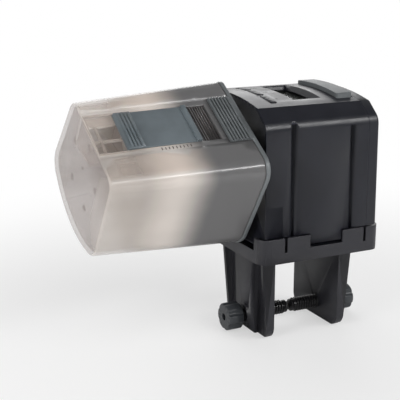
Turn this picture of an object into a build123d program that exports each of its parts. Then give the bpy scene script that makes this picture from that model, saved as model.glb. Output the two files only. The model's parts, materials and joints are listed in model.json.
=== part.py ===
from build123d import *
import os
from math import acos, atan2, cos, degrees, hypot, pi, radians, sin, tan

os.makedirs("parts", exist_ok=True)

# Aquarium fish feeder: a clear food drum turned by a battery-powered drive housing, which sits in a
# bracket clamped over a tank rim.  Frame: +X from the drum towards the housing, +Z up, origin in the
# middle of the bracket's underside, where it rests on the rim.  Millimetres and degrees.

# ---------------------------------------------------------------- clearances
SLIDE_GAP = 0.3          # between pieces that slide or seat on each other
RUN_GAP = 0.05           # radial, shafts in bearings and screws in threads
SEAT_GAP = 0.02          # radial, pieces pressed or screwed together

# ---------------------------------------------------------------- bracket
TRAY_LEFT_FIT = 0.5      # between the housing and the tray's wall, at its left end
TRAY_RIGHT_FIT = 0.8
TRAY_SIDE_PROUD = 0.4    # how far the tray stands out past the housing's front and back
TRAY_CORNER = 5.5
TRAY_FLOOR = 3.0
TRAY_WALL = 1.6
TRAY_LOW_TOP = 6.0       # top of the wall between the corner tabs
TAB_TOP = 12.0
FRONT_TAB_LEFT_END = -6.2
FRONT_TAB_RIGHT_START = 11.8
SIDE_TAB_REACH = 7.5     # how far a corner tab runs along the end walls
TAB_SLIT = 1.5
TAB_SLIT_X = (-19.2, 24.4)
TRAY_END_CHAMFER = 2.0   # under the battery end only

RIM_GAP = 36.0           # between the legs, where the tank rim goes
LEG_WIDTH = 41.0
LEG_DROP = 42.3
LEG_PLATE = 2.6
LEG_CORNER = 6.0
LEG_RIM = 2.0            # thickness of the stiffening rim along each edge
LEG_RIM_TOP = 7.2        # depth of the rim where it meets the tray
LEG_RIM_BOTTOM = 3.6
LEG_PILLAR = 18.6
LEG_PILLAR_TOP = 6.0
LEG_PILLAR_BOTTOM = 4.4
LEG_BOSS_RADIUS = 5.6
LEG_BOSS_DEPTH = 6.4

# ---------------------------------------------------------------- clamp screws
SCREW_Z = -35.0
SCREW_RADIUS = 3.6
SCREW_LENGTH = 25.5      # threaded length from knob to tip
KNOB_RADIUS = 6.8
KNOB_LENGTH = 8.0
KNOB_LOBES = 6
KNOB_SCALLOP = 1.9
KNOB_HOLE = 1.75
KNOB_HOLE_DEPTH = 4.0
TIP_LENGTH = 2.2
TIP_RADIUS = 3.1
TIP_PIN = 1.4
TIP_PIN_LENGTH = 5.0
LEFT_TIP_X = 1.0         # where each screw's end stands at rest
RIGHT_TIP_X = 2.2

# ---------------------------------------------------------------- housing
WALL = 2.0
HOUSING_LEFT = -30.1
HOUSING_RIGHT = 31.4
COVER_LENGTH = 6.2       # from the battery cover's seam to the housing's end
HOUSING_BOTTOM = 7.6
HALF_DEPTH_LOW = 31.6    # half of the depth at the bottom edge
HALF_DEPTH_SHOULDER = 30.7
SHOULDER_Z = 64.3
SHOULDER_RADIUS = 7.0
CREASE_HALF = 22.4
CREASE_Z = 71.5          # front edge of the arched top
BACK_CREASE_Z = 74.75    # back edge, higher, so that the display leans towards the front
TOP_MIDDLE_Z = 75.05
END_RECESS = 1.0         # step in the drum-side wall, inside its border
END_BORDER = 1.5
GROOVE_WIDTH = 3.2
GROOVE_DEPTH = 0.9
GROOVE_SLOPE = 0.9       # width of each sloping side
GROOVES = ((-15.1, 65.5), (17.0, 64.0))      # position and top of each groove
PATCH_DEPTH = 0.4
PATCH_TOP = 27.0
PATCH_LENGTH = 9.0

# ---------------------------------------------------------------- display and buttons
DISPLAY_X = 0.35
DISPLAY_Y = 1.0
DISPLAY_LENGTH = 12.4    # along X, at the bottom of the recess
DISPLAY_WIDTH = 29.8
DISPLAY_FLOOR = 71.7     # at the display's middle
RECESS_SLOPE = 27.0
FRAME_MARGIN = 4.2
WINDOW_LEDGE = 0.8
WINDOW_THICKNESS = 1.0
WINDOW_FRAME_DEPTH = 1.4
GLASS_BORDER = 1.6
GLASS_RECESS = 0.4
BUTTON_X = -18.7
BUTTON_LENGTH = 10.0
BUTTON_WIDTH = 2.8
BUTTON_PITCH = 12.2
BUTTON_PROUD = 0.35
BUTTON_TRAVEL = 0.6
BUTTON_FLANGE = 0.8
BUTTON_FLANGE_REACH = 0.9
BUTTON_STEM = (2.0, 4.0)     # along X and across
BOARD_TOP = 63.8
BOARD_THICKNESS = 1.6
BOARD_LEFT = -26.7
BOARD_RIGHT = 13.4
BOARD_HALF_WIDTH = 24.0
BOARD_SCREWS = ((-24.0, -20.5), (-24.0, 20.5), (10.8, -20.5), (10.8, 20.5))
BOARD_BOSS = 2.4
SMALL_SCREW = 0.9
SMALL_HEAD = 1.7
SMALL_HEAD_HEIGHT = 1.2
PAD_THICKNESS = 1.5
PAD_SIZE = (6.4, 35.2)
PAD_WEB = 1.0
PAD_DOME_RADIUS = 2.2
CHIP = (-13.0, -4.0, -20.0, -11.0)       # left, right, near and far edges
DRIVER = (4.0, 9.0, 8.0, 14.0)
CHIP_HEIGHT = 1.5

# ---------------------------------------------------------------- battery cover and latch
COVER_BOTTOM = TAB_TOP + 0.7
COVER_EDGE = 1.8
COVER_LIP = 2.4
COVER_LIP_WALL = 1.2
COVER_LIP_BOTTOM = 49.0
LATCH_LENGTH = 8.6
LATCH_SETBACK = 1.0      # between the latch and the seam
LATCH_HALF_WIDTH = 17.5
LATCH_PROUD = 2.0
LATCH_CORNER = 1.4       # in plan, at its front end
LATCH_FLANGE = 1.0
LATCH_FLANGE_REACH = 1.5
LATCH_LIP_CLEARANCE = 0.7

# ---------------------------------------------------------------- batteries
CELL_RADIUS = 7.25
CELL_LENGTH = 49.5
CELL_NUB_RADIUS = 2.7
CELL_NUB = 1.0
CELL_X = 17.6
CELL_Z = (20.4, 36.4)
HOLDER_WALL = 1.2
HOLDER_HALF_WIDTH = 28.6
HOLDER_MARGIN = 0.4
CONTACT_THICKNESS = 0.5
SPRING_WIRE = 0.35

# ---------------------------------------------------------------- base plate
BASE_PLATE = 2.0
BASE_RIM = 1.5
BASE_RIM_TOP = 10.0
POST_RADIUS = 3.0
POST_TOP = 20.0
LEFT_POSTS = ((-24.4, -26.8), (-24.4, 26.8))
RIGHT_POST_INSET = 3.8   # from the housing's end
RIGHT_POST_Y = 23.0
RIGHT_POST_RADIUS = 2.4
BASE_SCREW = 1.3
BASE_HEAD = 2.4
BASE_HEAD_HEIGHT = 1.4
BASE_SCREW_REACH = 7.0

# ---------------------------------------------------------------- drum
AXIS_Z = 45.0
DRUM_TURN = 33.0         # how far the gate side is turned from straight up, at rest
DRUM_LEFT = -107.2
DRUM_RIGHT = -33.7
DRUM_HALF = 32.2         # half-width at the left end
DRUM_FAR_TOP = 22.4      # the far side leans in towards the gate side
DRUM_FACET = 24.6        # height of the gate side above the axis, at the left end
DRUM_SIDE_LOW = -21.0
DRUM_ARCH_LOW = -31.0
DRUM_DRAFT = 2.3
DRUM_NEAR_CORNER = 5.0
DRUM_FAR_CORNER = 8.5
DRUM_FAR_CORNER_RIGHT = 4.0      # the far corner gets sharper towards the cap
DRUM_LOW_CORNER = 10.0
DRUM_END_EDGE = 1.2
DRUM_WALL = 1.6
DRUM_END_WALL = 1.8
CAP_FLANGE = 2.2
CAP_OVERHANG = 0.3
CAP_SKIRT = 1.4
CAP_SKIRT_LENGTH = 11.0
SOCKET_WALL = 2.2
SOCKET_DEPTH = 14.0

# Channel in the gate side: shelf, slot for the gate's body and groove for its edges
CHANNEL_U = (-16.5, 12.2)
CHANNEL_DEPTH = 0.7
SLOT_U = (-13.0, 10.0)
GROOVE_U = (-14.2, 11.2)
GROOVE_HEIGHT = 0.9
SLOT_DEPTH = 2.4
CHANNEL_FLOOR = 1.4
OUTLET_U = (-12.8, 4.6)
OUTLET_X = (-105.4, -90.8)
OUTLET_BAR = 1.0
OUTLET_BAR_X = -102.0
BAFFLE_WALL = 1.2
BAFFLE_OUTER = (13.6, 5.0)      # corner of the dosing baffle, across and above the axis
BAFFLE_INNER = (-4.9, 8.4)      # free edge of its lower leaf
BAFFLE_RIGHT = -88.0
DETENT_X = -56.4
DETENT_COUNT = 6
DETENT_PITCH = 1.2
DETENT_HEIGHT = 0.8

# Portion gate
GATE_LEFT = -92.8
GATE_RIGHT = -58.8
GATE_PLATE = 0.65
GATE_TOP_DEPTH = 0.45    # its flat panel lies this far below the gate side
GATE_GRIP_LENGTH = 7.6
GATE_GRIP_PROUD = 0.9
GATE_GRIP_RIBS = 4
GATE_RIDGE = 2.2
GATE_RIDGE_PROUD = 0.5
GATE_CLOSE = 12.4        # travel towards the left end, over the outlet
GATE_OPEN = 2.0          # travel the other way

# Grip tongue of the cap, lying in the channel's end
TONGUE_LEFT = -46.6
TONGUE_PROUD = 1.2
TONGUE_RIBS = 7
TONGUE_RIB_HEIGHT = 0.7

# ---------------------------------------------------------------- drive
HUB_FLATS = 9.0          # across the flats of the hexagonal spigot
HUB_FLANGE_RADIUS = 10.0
JOURNAL_RADIUS = 5.0
BUSH_WALL = 2.0
SHAFT_RADIUS = 3.0
PIN_RADIUS = 1.0
PRESSURE_ANGLE = 25.0
ADDENDUM = 0.85
DEDENDUM = 1.1
BACKLASH = 0.16
PINION_TEETH = 12
OUTPUT_TEETH = 36
SECOND_TEETH = 30
FIRST_TEETH = 24
OUTPUT_MODULE = 0.8
SECOND_MODULE = 0.7
FIRST_MODULE = 0.6
GEAR_LAYER = 3.2
LAYER_PITCH = 3.7
GEARS_LEFT = -26.2
MOTOR_Y = -9.0
MOTOR_Z = 20.0
MOTOR_RADIUS = 10.0
MOTOR_FLAT = 7.5
MOTOR_LENGTH = 20.0
MOTOR_BOSS = 3.0
FIRST_IDLER_TURN = 10.0  # direction from the motor to the first idler
PLATE_LEFT = -15.0
PLATE_THICKNESS = 2.0
PLATE_Y = (-23.0, 25.0)
PLATE_Z = (10.6, 54.0)
PLATE_SCREWS = ((-19.4, 13.0), (21.5, 14.0), (-18.6, 50.6), (21.0, 50.0))
CAM_RADIUS = 6.0
CAM_WIDTH = 1.6
SWITCH_SIZE = (5.0, 6.0, 9.0)

# ---------------------------------------------------------------- worked-out places
TRAY_LEFT = HOUSING_LEFT - TRAY_LEFT_FIT - TRAY_WALL
TRAY_RIGHT = HOUSING_RIGHT + TRAY_RIGHT_FIT + TRAY_WALL
TRAY_LENGTH = TRAY_RIGHT - TRAY_LEFT
TRAY_CENTRE_X = (TRAY_LEFT + TRAY_RIGHT) / 2
TRAY_WIDTH = 2 * (HALF_DEPTH_LOW + TRAY_SIDE_PROUD)
TRAY_HALF_Y = TRAY_WIDTH / 2
SEAM_X = HOUSING_RIGHT - COVER_LENGTH
RIGHT_POST_X = HOUSING_RIGHT - RIGHT_POST_INSET
RIGHT_POSTS = ((RIGHT_POST_X, -RIGHT_POST_Y), (RIGHT_POST_X, RIGHT_POST_Y))
LATCH_RIGHT = SEAM_X - LATCH_SETBACK
LATCH_LEFT = LATCH_RIGHT - LATCH_LENGTH
BACK_RISE = BACK_CREASE_Z - CREASE_Z
TOP_TILT = degrees(atan2(BACK_RISE, 2 * CREASE_HALF))
TOP_LIMIT = TOP_MIDDLE_Z + 2.0                   # clear of the arched top
TRAY_INNER_LENGTH = TRAY_LENGTH - 2 * TRAY_WALL
TRAY_INNER_Y = TRAY_HALF_Y - TRAY_WALL
LEG_FACE = RIM_GAP / 2
BASE_BOTTOM = TRAY_FLOOR + SLIDE_GAP
BASE_TOP = BASE_BOTTOM + BASE_PLATE
WALL_LEFT = HOUSING_LEFT + END_RECESS            # outer face of the drum-side wall
WALL_RIGHT = WALL_LEFT + WALL                    # its inner face
BOARD_BOTTOM = BOARD_TOP - BOARD_THICKNESS
PLATE_RIGHT = PLATE_LEFT + PLATE_THICKNESS
CAP_FACE = DRUM_RIGHT - CAP_FLANGE               # left face of the cap's flange
HOPPER_RIGHT = CAP_FACE - SLIDE_GAP
HUB_FACE = DRUM_RIGHT + SLIDE_GAP                # where the hub's flange meets the cap
HUB_RIGHT = WALL_LEFT - 2 * SLIDE_GAP
HALF_BOX = 200.0                                 # larger than the whole feeder


# ---------------------------------------------------------------- helpers
def save(name, piece):
    """Write one named piece, flattened to its solids."""
    solids = piece.solids()
    export_step(solids[0] if len(solids) == 1 else Compound(children=solids), f"parts/{name}.step")


def block(x0, x1, y0, y1, z0, z1):
    """Box between two corners."""
    centre = Pos((x0 + x1) / 2, (y0 + y1) / 2, (z0 + z1) / 2)
    return centre * Box(x1 - x0, y1 - y0, z1 - z0)


def rod_x(x0, x1, y, z, radius):
    """Cylinder along X."""
    return Pos((x0 + x1) / 2, y, z) * Rot(0, 90, 0) * Cylinder(radius, x1 - x0)


def rod_z(x, y, z0, z1, radius):
    """Cylinder along Z."""
    return Pos(x, y, (z0 + z1) / 2) * Cylinder(radius, z1 - z0)


def along_x(outline, x0, x1):
    """Extrude an outline drawn in Y and Z from x0 to x1."""
    return extrude(Plane.YZ.offset(x0) * outline, amount=x1 - x0)


def union(pieces):
    """Join a list of solids."""
    whole = pieces[0]
    for piece in pieces[1:]:
        whole = whole + piece
    return whole


# ---------------------------------------------------------------- bracket
def tray_ring(z0, z1, grow=0.0):
    """Wall of the tray between two heights, all the way round."""
    inner = RectangleRounded(TRAY_INNER_LENGTH, 2 * TRAY_INNER_Y, TRAY_CORNER - TRAY_WALL)
    if grow:
        wall = Rectangle(HALF_BOX, HALF_BOX) - offset(inner, -grow)
    else:
        wall = RectangleRounded(TRAY_LENGTH, TRAY_WIDTH, TRAY_CORNER) - inner
    return extrude(Pos(TRAY_CENTRE_X, 0, z0) * wall, amount=z1 - z0)


def tab_windows(z0, z1, shrink=0.0):
    """The stretches of the tray wall between the corner tabs."""
    front = (FRONT_TAB_LEFT_END + shrink, FRONT_TAB_RIGHT_START - shrink)
    side = TRAY_HALF_Y - SIDE_TAB_REACH - shrink
    return (block(front[0], front[1], -HALF_BOX, HALF_BOX, z0, z1)
            + block(-HALF_BOX, HALF_BOX, -side, side, z0, z1))


def make_leg(side):
    """One clamp leg; side is -1 for the drum's side and 1 for the housing's end."""
    depth = max(LEG_RIM_TOP, LEG_BOSS_DEPTH)
    outline = Pos(0, -LEG_DROP / 2) * Rectangle(LEG_WIDTH, LEG_DROP + 0.2)
    outline = fillet(outline.vertices().group_by(Axis.Y)[0], LEG_CORNER)
    envelope = along_x(outline, LEG_FACE, LEG_FACE + depth)
    edge = LEG_WIDTH / 2

    def ribbed(top, bottom, y0, y1):
        """A stiffener that gets shallower towards the bottom."""
        corners = [(LEG_FACE, 0), (LEG_FACE + top, 0), (LEG_FACE + bottom, -LEG_DROP), (LEG_FACE, -LEG_DROP)]
        side_view = make_face(Polyline(*corners, close=True))
        return extrude(Plane.XZ.offset(-y1) * side_view, amount=y1 - y0)

    leg = envelope & block(LEG_FACE, LEG_FACE + LEG_PLATE, -edge, edge, -LEG_DROP, 0)
    for y0 in (-edge, edge - LEG_RIM):
        leg += envelope & ribbed(LEG_RIM_TOP, LEG_RIM_BOTTOM, y0, y0 + LEG_RIM)
    half_pillar = LEG_PILLAR / 2
    leg += envelope & ribbed(LEG_PILLAR_TOP, LEG_PILLAR_BOTTOM, -half_pillar, half_pillar)
    leg += rod_x(LEG_FACE, LEG_FACE + LEG_BOSS_DEPTH, 0, SCREW_Z, LEG_BOSS_RADIUS)
    leg -= rod_x(0, HALF_BOX, 0, SCREW_Z, SCREW_RADIUS + RUN_GAP)
    return leg if side > 0 else mirror(leg, about=Plane.YZ)


def make_bracket():
    """Tray with corner tabs, standing on two clamp legs."""
    floor = Pos(TRAY_CENTRE_X, 0) * extrude(RectangleRounded(TRAY_LENGTH, TRAY_WIDTH, TRAY_CORNER), amount=TRAY_FLOOR)
    tray = floor + tray_ring(0, TAB_TOP)
    tray -= tab_windows(TRAY_LOW_TOP, TAB_TOP + 1)
    for x in TAB_SLIT_X:
        tray -= block(x - TAB_SLIT / 2, x + TAB_SLIT / 2, -HALF_BOX, HALF_BOX, TRAY_LOW_TOP - 1, TAB_TOP + 1)
    wedge = Polyline((TRAY_RIGHT - TRAY_END_CHAMFER, 0), (TRAY_RIGHT, 2 * TRAY_END_CHAMFER), (TRAY_RIGHT + 1, 0),
                     close=True)
    tray -= extrude(Plane.XZ.offset(-HALF_BOX) * make_face(wedge), amount=2 * HALF_BOX)
    return union([tray, make_leg(-1), make_leg(1)])


# ---------------------------------------------------------------- clamp screws
def make_clamp(side, tip_x):
    """Knob, threaded rod and pressure tip; side -1 has its knob at low X.  They are drawn with the tip
    towards +X, from the tip's end backwards, and turned round for the other side."""
    rod_end = -TIP_LENGTH
    knob_face = rod_end - SCREW_LENGTH
    rod = rod_x(knob_face - KNOB_LENGTH / 2, rod_end, 0, 0, SCREW_RADIUS)
    rod = chamfer(rod.edges().group_by(Axis.X)[-1], 0.5)
    rod -= rod_x(rod_end - TIP_PIN_LENGTH - SLIDE_GAP, rod_end + 1, 0, 0, TIP_PIN + RUN_GAP)
    tip = rod_x(rod_end + SLIDE_GAP, 0, 0, 0, TIP_RADIUS)
    tip = chamfer(tip.edges().group_by(Axis.X)[-1], 0.9)
    tip += rod_x(rod_end - TIP_PIN_LENGTH, rod_end + 1, 0, 0, TIP_PIN)
    knob = rod_x(knob_face - KNOB_LENGTH, knob_face, 0, 0, KNOB_RADIUS)
    knob = chamfer(knob.edges().filter_by(GeomType.CIRCLE), 0.6)
    for lobe in range(KNOB_LOBES):
        angle = 2 * pi * (lobe + 0.5) / KNOB_LOBES
        reach = KNOB_RADIUS + 0.9
        knob -= rod_x(knob_face - HALF_BOX, knob_face + 1, reach * cos(angle), reach * sin(angle), KNOB_SCALLOP)
    knob -= rod_x(knob_face - HALF_BOX, knob_face - KNOB_LENGTH + KNOB_HOLE_DEPTH, 0, 0, KNOB_HOLE)
    knob -= rod_x(knob_face - KNOB_LENGTH / 2, knob_face + 1, 0, 0, SCREW_RADIUS + SEAT_GAP)
    place = Pos(tip_x, 0, SCREW_Z)
    if side > 0:
        place = place * Rot(0, 0, 180)
    return place * knob, place * rod, place * tip


# ---------------------------------------------------------------- housing
def housing_outline(grow=0.0):
    """Front-to-back section of the housing, in Y and Z, grown or shrunk evenly."""
    back_shoulder = SHOULDER_Z + BACK_RISE
    sides = Polyline((-CREASE_HALF, CREASE_Z), (-HALF_DEPTH_SHOULDER, SHOULDER_Z),
                     (-HALF_DEPTH_LOW, HOUSING_BOTTOM), (HALF_DEPTH_LOW, HOUSING_BOTTOM),
                     (HALF_DEPTH_SHOULDER, back_shoulder), (CREASE_HALF, BACK_CREASE_Z))
    top = ThreePointArc((CREASE_HALF, BACK_CREASE_Z), (0, TOP_MIDDLE_Z), (-CREASE_HALF, CREASE_Z))
    face = make_face(sides + top)
    shoulders = [v for v in face.vertices() if min(abs(v.Y - SHOULDER_Z), abs(v.Y - back_shoulder)) < 0.01]
    face = fillet(shoulders, SHOULDER_RADIUS)
    if grow:
        face = offset(face, grow, kind=Kind.INTERSECTION)
    return face


def housing_prism(x0, x1, grow=0.0):
    """The housing's section drawn out along X."""
    return along_x(housing_outline(grow), x0, x1)


def make_housing():
    """Main shell: front, back, top and the drum-side wall; open below and at the battery end."""
    outer = housing_prism(HOUSING_LEFT, SEAM_X)
    outer += housing_prism(SEAM_X, HOUSING_RIGHT) & block(0, HALF_BOX, -HALF_BOX, HALF_BOX, 0, TAB_TOP)
    inner = housing_prism(WALL_RIGHT, HOUSING_RIGHT - WALL, -WALL)
    shell = outer - inner
    shell -= block(WALL_RIGHT, HOUSING_RIGHT - WALL, WALL - HALF_DEPTH_LOW, HALF_DEPTH_LOW - WALL,
                   0, HOUSING_BOTTOM + WALL + 1)
    shell -= housing_prism(HOUSING_LEFT - 1, WALL_LEFT, -END_BORDER)
    pockets = tray_ring(0, TAB_TOP + 2 * SLIDE_GAP, SLIDE_GAP) - tab_windows(0, HALF_BOX, 2 * SLIDE_GAP)
    shell -= pockets
    for x, top in GROOVES:
        for side in (-1, 1):
            shell -= vertical_groove(x, top, side)
    patch_right = HOUSING_LEFT + PATCH_LENGTH
    patch_y = HALF_DEPTH_LOW - PATCH_DEPTH
    shell -= block(HOUSING_LEFT - 1, patch_right, -HALF_BOX, -patch_y, 0, PATCH_TOP)
    bosses = []
    for y, z in PLATE_SCREWS:
        bosses.append(rod_x(WALL_RIGHT - 0.5, PLATE_LEFT, y, z, POST_RADIUS))
    for x, y in LEFT_POSTS:
        bosses.append(rod_z(x, y, BASE_TOP, POST_TOP, POST_RADIUS))
    for x, y in RIGHT_POSTS:
        bosses.append(rod_z(x, y, BASE_TOP, TAB_TOP, RIGHT_POST_RADIUS))
    inside = housing_prism(HOUSING_LEFT + WALL / 2, SEAM_X, -WALL / 2)
    skirt = block(SEAM_X - WALL, HOUSING_RIGHT - WALL / 2, -HALF_DEPTH_LOW, HALF_DEPTH_LOW, BASE_TOP, TAB_TOP)
    room = inside + skirt + block(WALL_LEFT, SEAM_X, -TRAY_INNER_Y + 1, TRAY_INNER_Y - 1, BASE_TOP, TAB_TOP)
    for x, y in BOARD_SCREWS:
        bosses.append(rod_z(x, y, BOARD_TOP, TOP_LIMIT, BOARD_BOSS))
    half_x = DISPLAY_LENGTH / 2 + FRAME_MARGIN
    half_y = DISPLAY_WIDTH / 2 + FRAME_MARGIN
    frame_top = TOP_LIMIT - DISPLAY_FLOOR
    bosses.append(display_frame(block(-half_x, half_x, -half_y, half_y, -WINDOW_FRAME_DEPTH, frame_top)))
    shell += union(bosses) & room
    for y, z in PLATE_SCREWS:
        shell -= rod_x(PLATE_LEFT - BASE_SCREW_REACH, PLATE_LEFT + 1, y, z, SMALL_SCREW + SEAT_GAP)
    for x, y in LEFT_POSTS + RIGHT_POSTS:
        reach = BASE_BOTTOM + BASE_SCREW_REACH + SLIDE_GAP
        shell -= rod_z(x, y * base_screw_share(y), 0, reach, BASE_SCREW + SEAT_GAP)
    for x, y in BOARD_SCREWS:
        shell -= rod_z(x, y, BOARD_TOP - 1, BOARD_TOP + 3.2, SMALL_SCREW + SEAT_GAP)
    shell -= display_recess()
    shell -= window_block(SLIDE_GAP / 2, -WINDOW_FRAME_DEPTH - 1, 0)
    for y in (-BUTTON_PITCH, 0, BUTTON_PITCH):
        shell -= button_block(y, SLIDE_GAP, BOARD_TOP, HALF_BOX)
    shell -= latch_block(SLIDE_GAP, BOARD_TOP, HALF_BOX)
    shell -= rod_x(HOUSING_LEFT - 1, WALL_RIGHT + 1, 0, AXIS_Z, bush_radius() + SEAT_GAP)
    for y, z in (first_idler_place(), second_idler_place()):
        shell -= rod_x(WALL_RIGHT - WALL / 2, WALL_RIGHT + 1, y, z, PIN_RADIUS + SEAT_GAP)
    return shell


def base_screw_share(y):
    """The screws stand a little inside the posts that merge with the front and back walls."""
    return (abs(y) - 0.8) / abs(y) if abs(y) > 25 else 1.0


def vertical_groove(x, top, side):
    """A shallow groove down the front or back, with sloping sides and a sloping top end."""
    half = GROOVE_WIDTH / 2
    face_y = HALF_DEPTH_SHOULDER - GROOVE_DEPTH + 0.2
    lean = degrees(atan2(HALF_DEPTH_LOW - HALF_DEPTH_SHOULDER, SHOULDER_Z - HOUSING_BOTTOM))
    reach = 3 * GROOVE_DEPTH
    outer = half + 2 * GROOVE_SLOPE
    inner = half - GROOVE_SLOPE
    section = make_face(Polyline((x - outer, reach), (x - inner, 0), (x + inner, 0), (x + outer, reach), close=True))
    cut = extrude(section, amount=top + 20)
    slope = Pos(x, 0, top) * Rot(-50, 0, 0) * block(-5, 5, -20, 20, 0, 40)
    cut = cut - slope
    cut = Pos(0, face_y, 0) * Rot(lean, 0, 0) * cut
    return cut if side > 0 else mirror(cut, about=Plane.XZ)


def display_frame(piece):
    """Place a piece drawn about the middle of the recess's floor, which leans like the top."""
    return Pos(DISPLAY_X, DISPLAY_Y, DISPLAY_FLOOR) * Rot(TOP_TILT, 0, 0) * piece


def display_recess():
    """Sloping-sided well above the window."""
    height = TOP_LIMIT - DISPLAY_FLOOR + 1
    well = extrude(Rectangle(DISPLAY_LENGTH, DISPLAY_WIDTH), amount=height, taper=-RECESS_SLOPE)
    half_x = DISPLAY_LENGTH / 2
    half_y = DISPLAY_WIDTH / 2
    return display_frame(well + block(-half_x, half_x, -half_y, half_y, -1, 1))


def window_block(grow, bottom, top):
    """Space of the window, larger than the recess's floor by its ledge; heights count from that floor."""
    half_x = DISPLAY_LENGTH / 2 + WINDOW_LEDGE + grow
    half_y = DISPLAY_WIDTH / 2 + WINDOW_LEDGE + grow
    return display_frame(block(-half_x, half_x, -half_y, half_y, bottom, top))


# ---------------------------------------------------------------- buttons
def button_block(y, grow, bottom, top):
    """Upright prism of one button's cap."""
    half_x = BUTTON_WIDTH / 2 + grow
    half_y = BUTTON_LENGTH / 2 + grow
    return block(BUTTON_X - half_x, BUTTON_X + half_x, y - half_y, y + half_y, bottom, top)


def make_button(y):
    """Long button cap that follows the arched top, with a flange under the wall and a short stem."""
    pad_top = BOARD_TOP + PAD_THICKNESS
    stem_bottom = pad_top + BUTTON_TRAVEL + SLIDE_GAP / 2
    x0 = BUTTON_X - BUTTON_WIDTH
    x1 = BUTTON_X + BUTTON_WIDTH
    under_wall = housing_prism(x0, x1, -WALL - SLIDE_GAP)
    flange_core = housing_prism(x0, x1, -WALL - SLIDE_GAP - BUTTON_FLANGE)
    cap = button_block(y, 0, BOARD_TOP, HALF_BOX) & housing_prism(x0, x1, BUTTON_PROUD)
    cap -= flange_core
    flange = (button_block(y, BUTTON_FLANGE_REACH, BOARD_TOP, HALF_BOX) & under_wall) - flange_core
    half_x = BUTTON_STEM[0] / 2
    half_y = BUTTON_STEM[1] / 2
    stem = block(BUTTON_X - half_x, BUTTON_X + half_x, y - half_y, y + half_y, stem_bottom, TOP_LIMIT - WALL)
    stem = stem & under_wall
    return union([cap, flange, stem])


def make_latch():
    """Arched bar that is pressed to free the battery cover."""
    x0 = LATCH_LEFT - 1
    x1 = LATCH_RIGHT + 1
    bar = latch_block(0, BOARD_TOP, HALF_BOX) & housing_prism(x0, x1, LATCH_PROUD)
    front = bar.faces().sort_by(Axis.Y)[0]
    bar = fillet(front.edges().filter_by(Axis.Z), LATCH_CORNER)
    bar = fillet(bar.edges().group_by(Axis.Z)[-1], 0.6)
    core = housing_prism(x0, x1, -WALL - SLIDE_GAP - LATCH_FLANGE)
    half_y = LATCH_HALF_WIDTH + LATCH_FLANGE_REACH
    flange = block(LATCH_LEFT, LATCH_RIGHT, -half_y, half_y, BOARD_TOP, TOP_LIMIT)
    flange = (flange & housing_prism(x0, x1, -WALL - SLIDE_GAP)) - core
    return (bar - core) + flange


def latch_block(grow, bottom, top):
    """Upright prism of the latch bar."""
    half_y = LATCH_HALF_WIDTH + grow
    return block(LATCH_LEFT - grow, LATCH_RIGHT + grow, -half_y, half_y, bottom, top)


# ---------------------------------------------------------------- battery cover
def make_battery_cover():
    """End cap beyond the seam, above the tray's tabs, with a lip that plugs into the housing."""
    above = block(0, HALF_BOX, -HALF_BOX, HALF_BOX, COVER_BOTTOM, HALF_BOX)
    cap = housing_prism(SEAM_X + SLIDE_GAP / 2, HOUSING_RIGHT) & above
    cap = fillet(cap.faces().sort_by(Axis.X)[-1].edges(), COVER_EDGE)
    cap -= housing_prism(SEAM_X, HOUSING_RIGHT - WALL, -WALL) & block(
        0, HALF_BOX, -HALF_BOX, HALF_BOX, COVER_BOTTOM + WALL, HALF_BOX)
    lip_outer = housing_prism(SEAM_X - COVER_LIP, SEAM_X + WALL, -WALL - SLIDE_GAP)
    lip = lip_outer - housing_prism(SEAM_X - COVER_LIP, SEAM_X + WALL, -WALL - SLIDE_GAP - COVER_LIP_WALL)
    lip = lip & block(0, HALF_BOX, -HALF_BOX, HALF_BOX, COVER_LIP_BOTTOM, HALF_BOX)
    reach = LATCH_HALF_WIDTH + LATCH_FLANGE_REACH + LATCH_LIP_CLEARANCE
    lip -= block(0, SEAM_X + SLIDE_GAP / 2, -reach, reach, COVER_LIP_BOTTOM, HALF_BOX)
    seat = housing_prism(SEAM_X + SLIDE_GAP, SEAM_X + WALL, -WALL + 0.2)
    seat -= housing_prism(SEAM_X + SLIDE_GAP, SEAM_X + WALL, -WALL - SLIDE_GAP - COVER_LIP_WALL)
    seat = seat & block(0, HALF_BOX, -HALF_BOX, HALF_BOX, COVER_LIP_BOTTOM, HALF_BOX)
    return union([cap, seat, lip])


# ---------------------------------------------------------------- base plate
def make_base_plate():
    """Underside cover that stands on the tray's floor and plugs into the housing."""
    left = WALL_RIGHT + SLIDE_GAP
    right = HOUSING_RIGHT - WALL - SLIDE_GAP
    half_y = HALF_DEPTH_LOW - WALL - 2 * SLIDE_GAP
    plate = block(HOUSING_LEFT, HOUSING_RIGHT, -TRAY_INNER_Y + 0.4, TRAY_INNER_Y - 0.4, BASE_BOTTOM, BASE_TOP)
    plate = fillet(plate.edges().filter_by(Axis.Z), TRAY_CORNER - TRAY_WALL)
    rim = block(left, right, -half_y, half_y, BASE_TOP, BASE_RIM_TOP)
    rim -= block(left + BASE_RIM, right - BASE_RIM, BASE_RIM - half_y, half_y - BASE_RIM, 0, HALF_BOX)
    for x, y in LEFT_POSTS + RIGHT_POSTS:
        rim -= rod_z(x, y, 0, HALF_BOX, POST_RADIUS + SLIDE_GAP)
    plate += rim
    for x, y in LEFT_POSTS + RIGHT_POSTS:
        y = y * base_screw_share(y)
        plate -= rod_z(x, y, 0, HALF_BOX, BASE_SCREW + SEAT_GAP)
        plate -= rod_z(x, y, 0, BASE_BOTTOM + BASE_HEAD_HEIGHT, BASE_HEAD + SEAT_GAP)
    return plate


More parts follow.
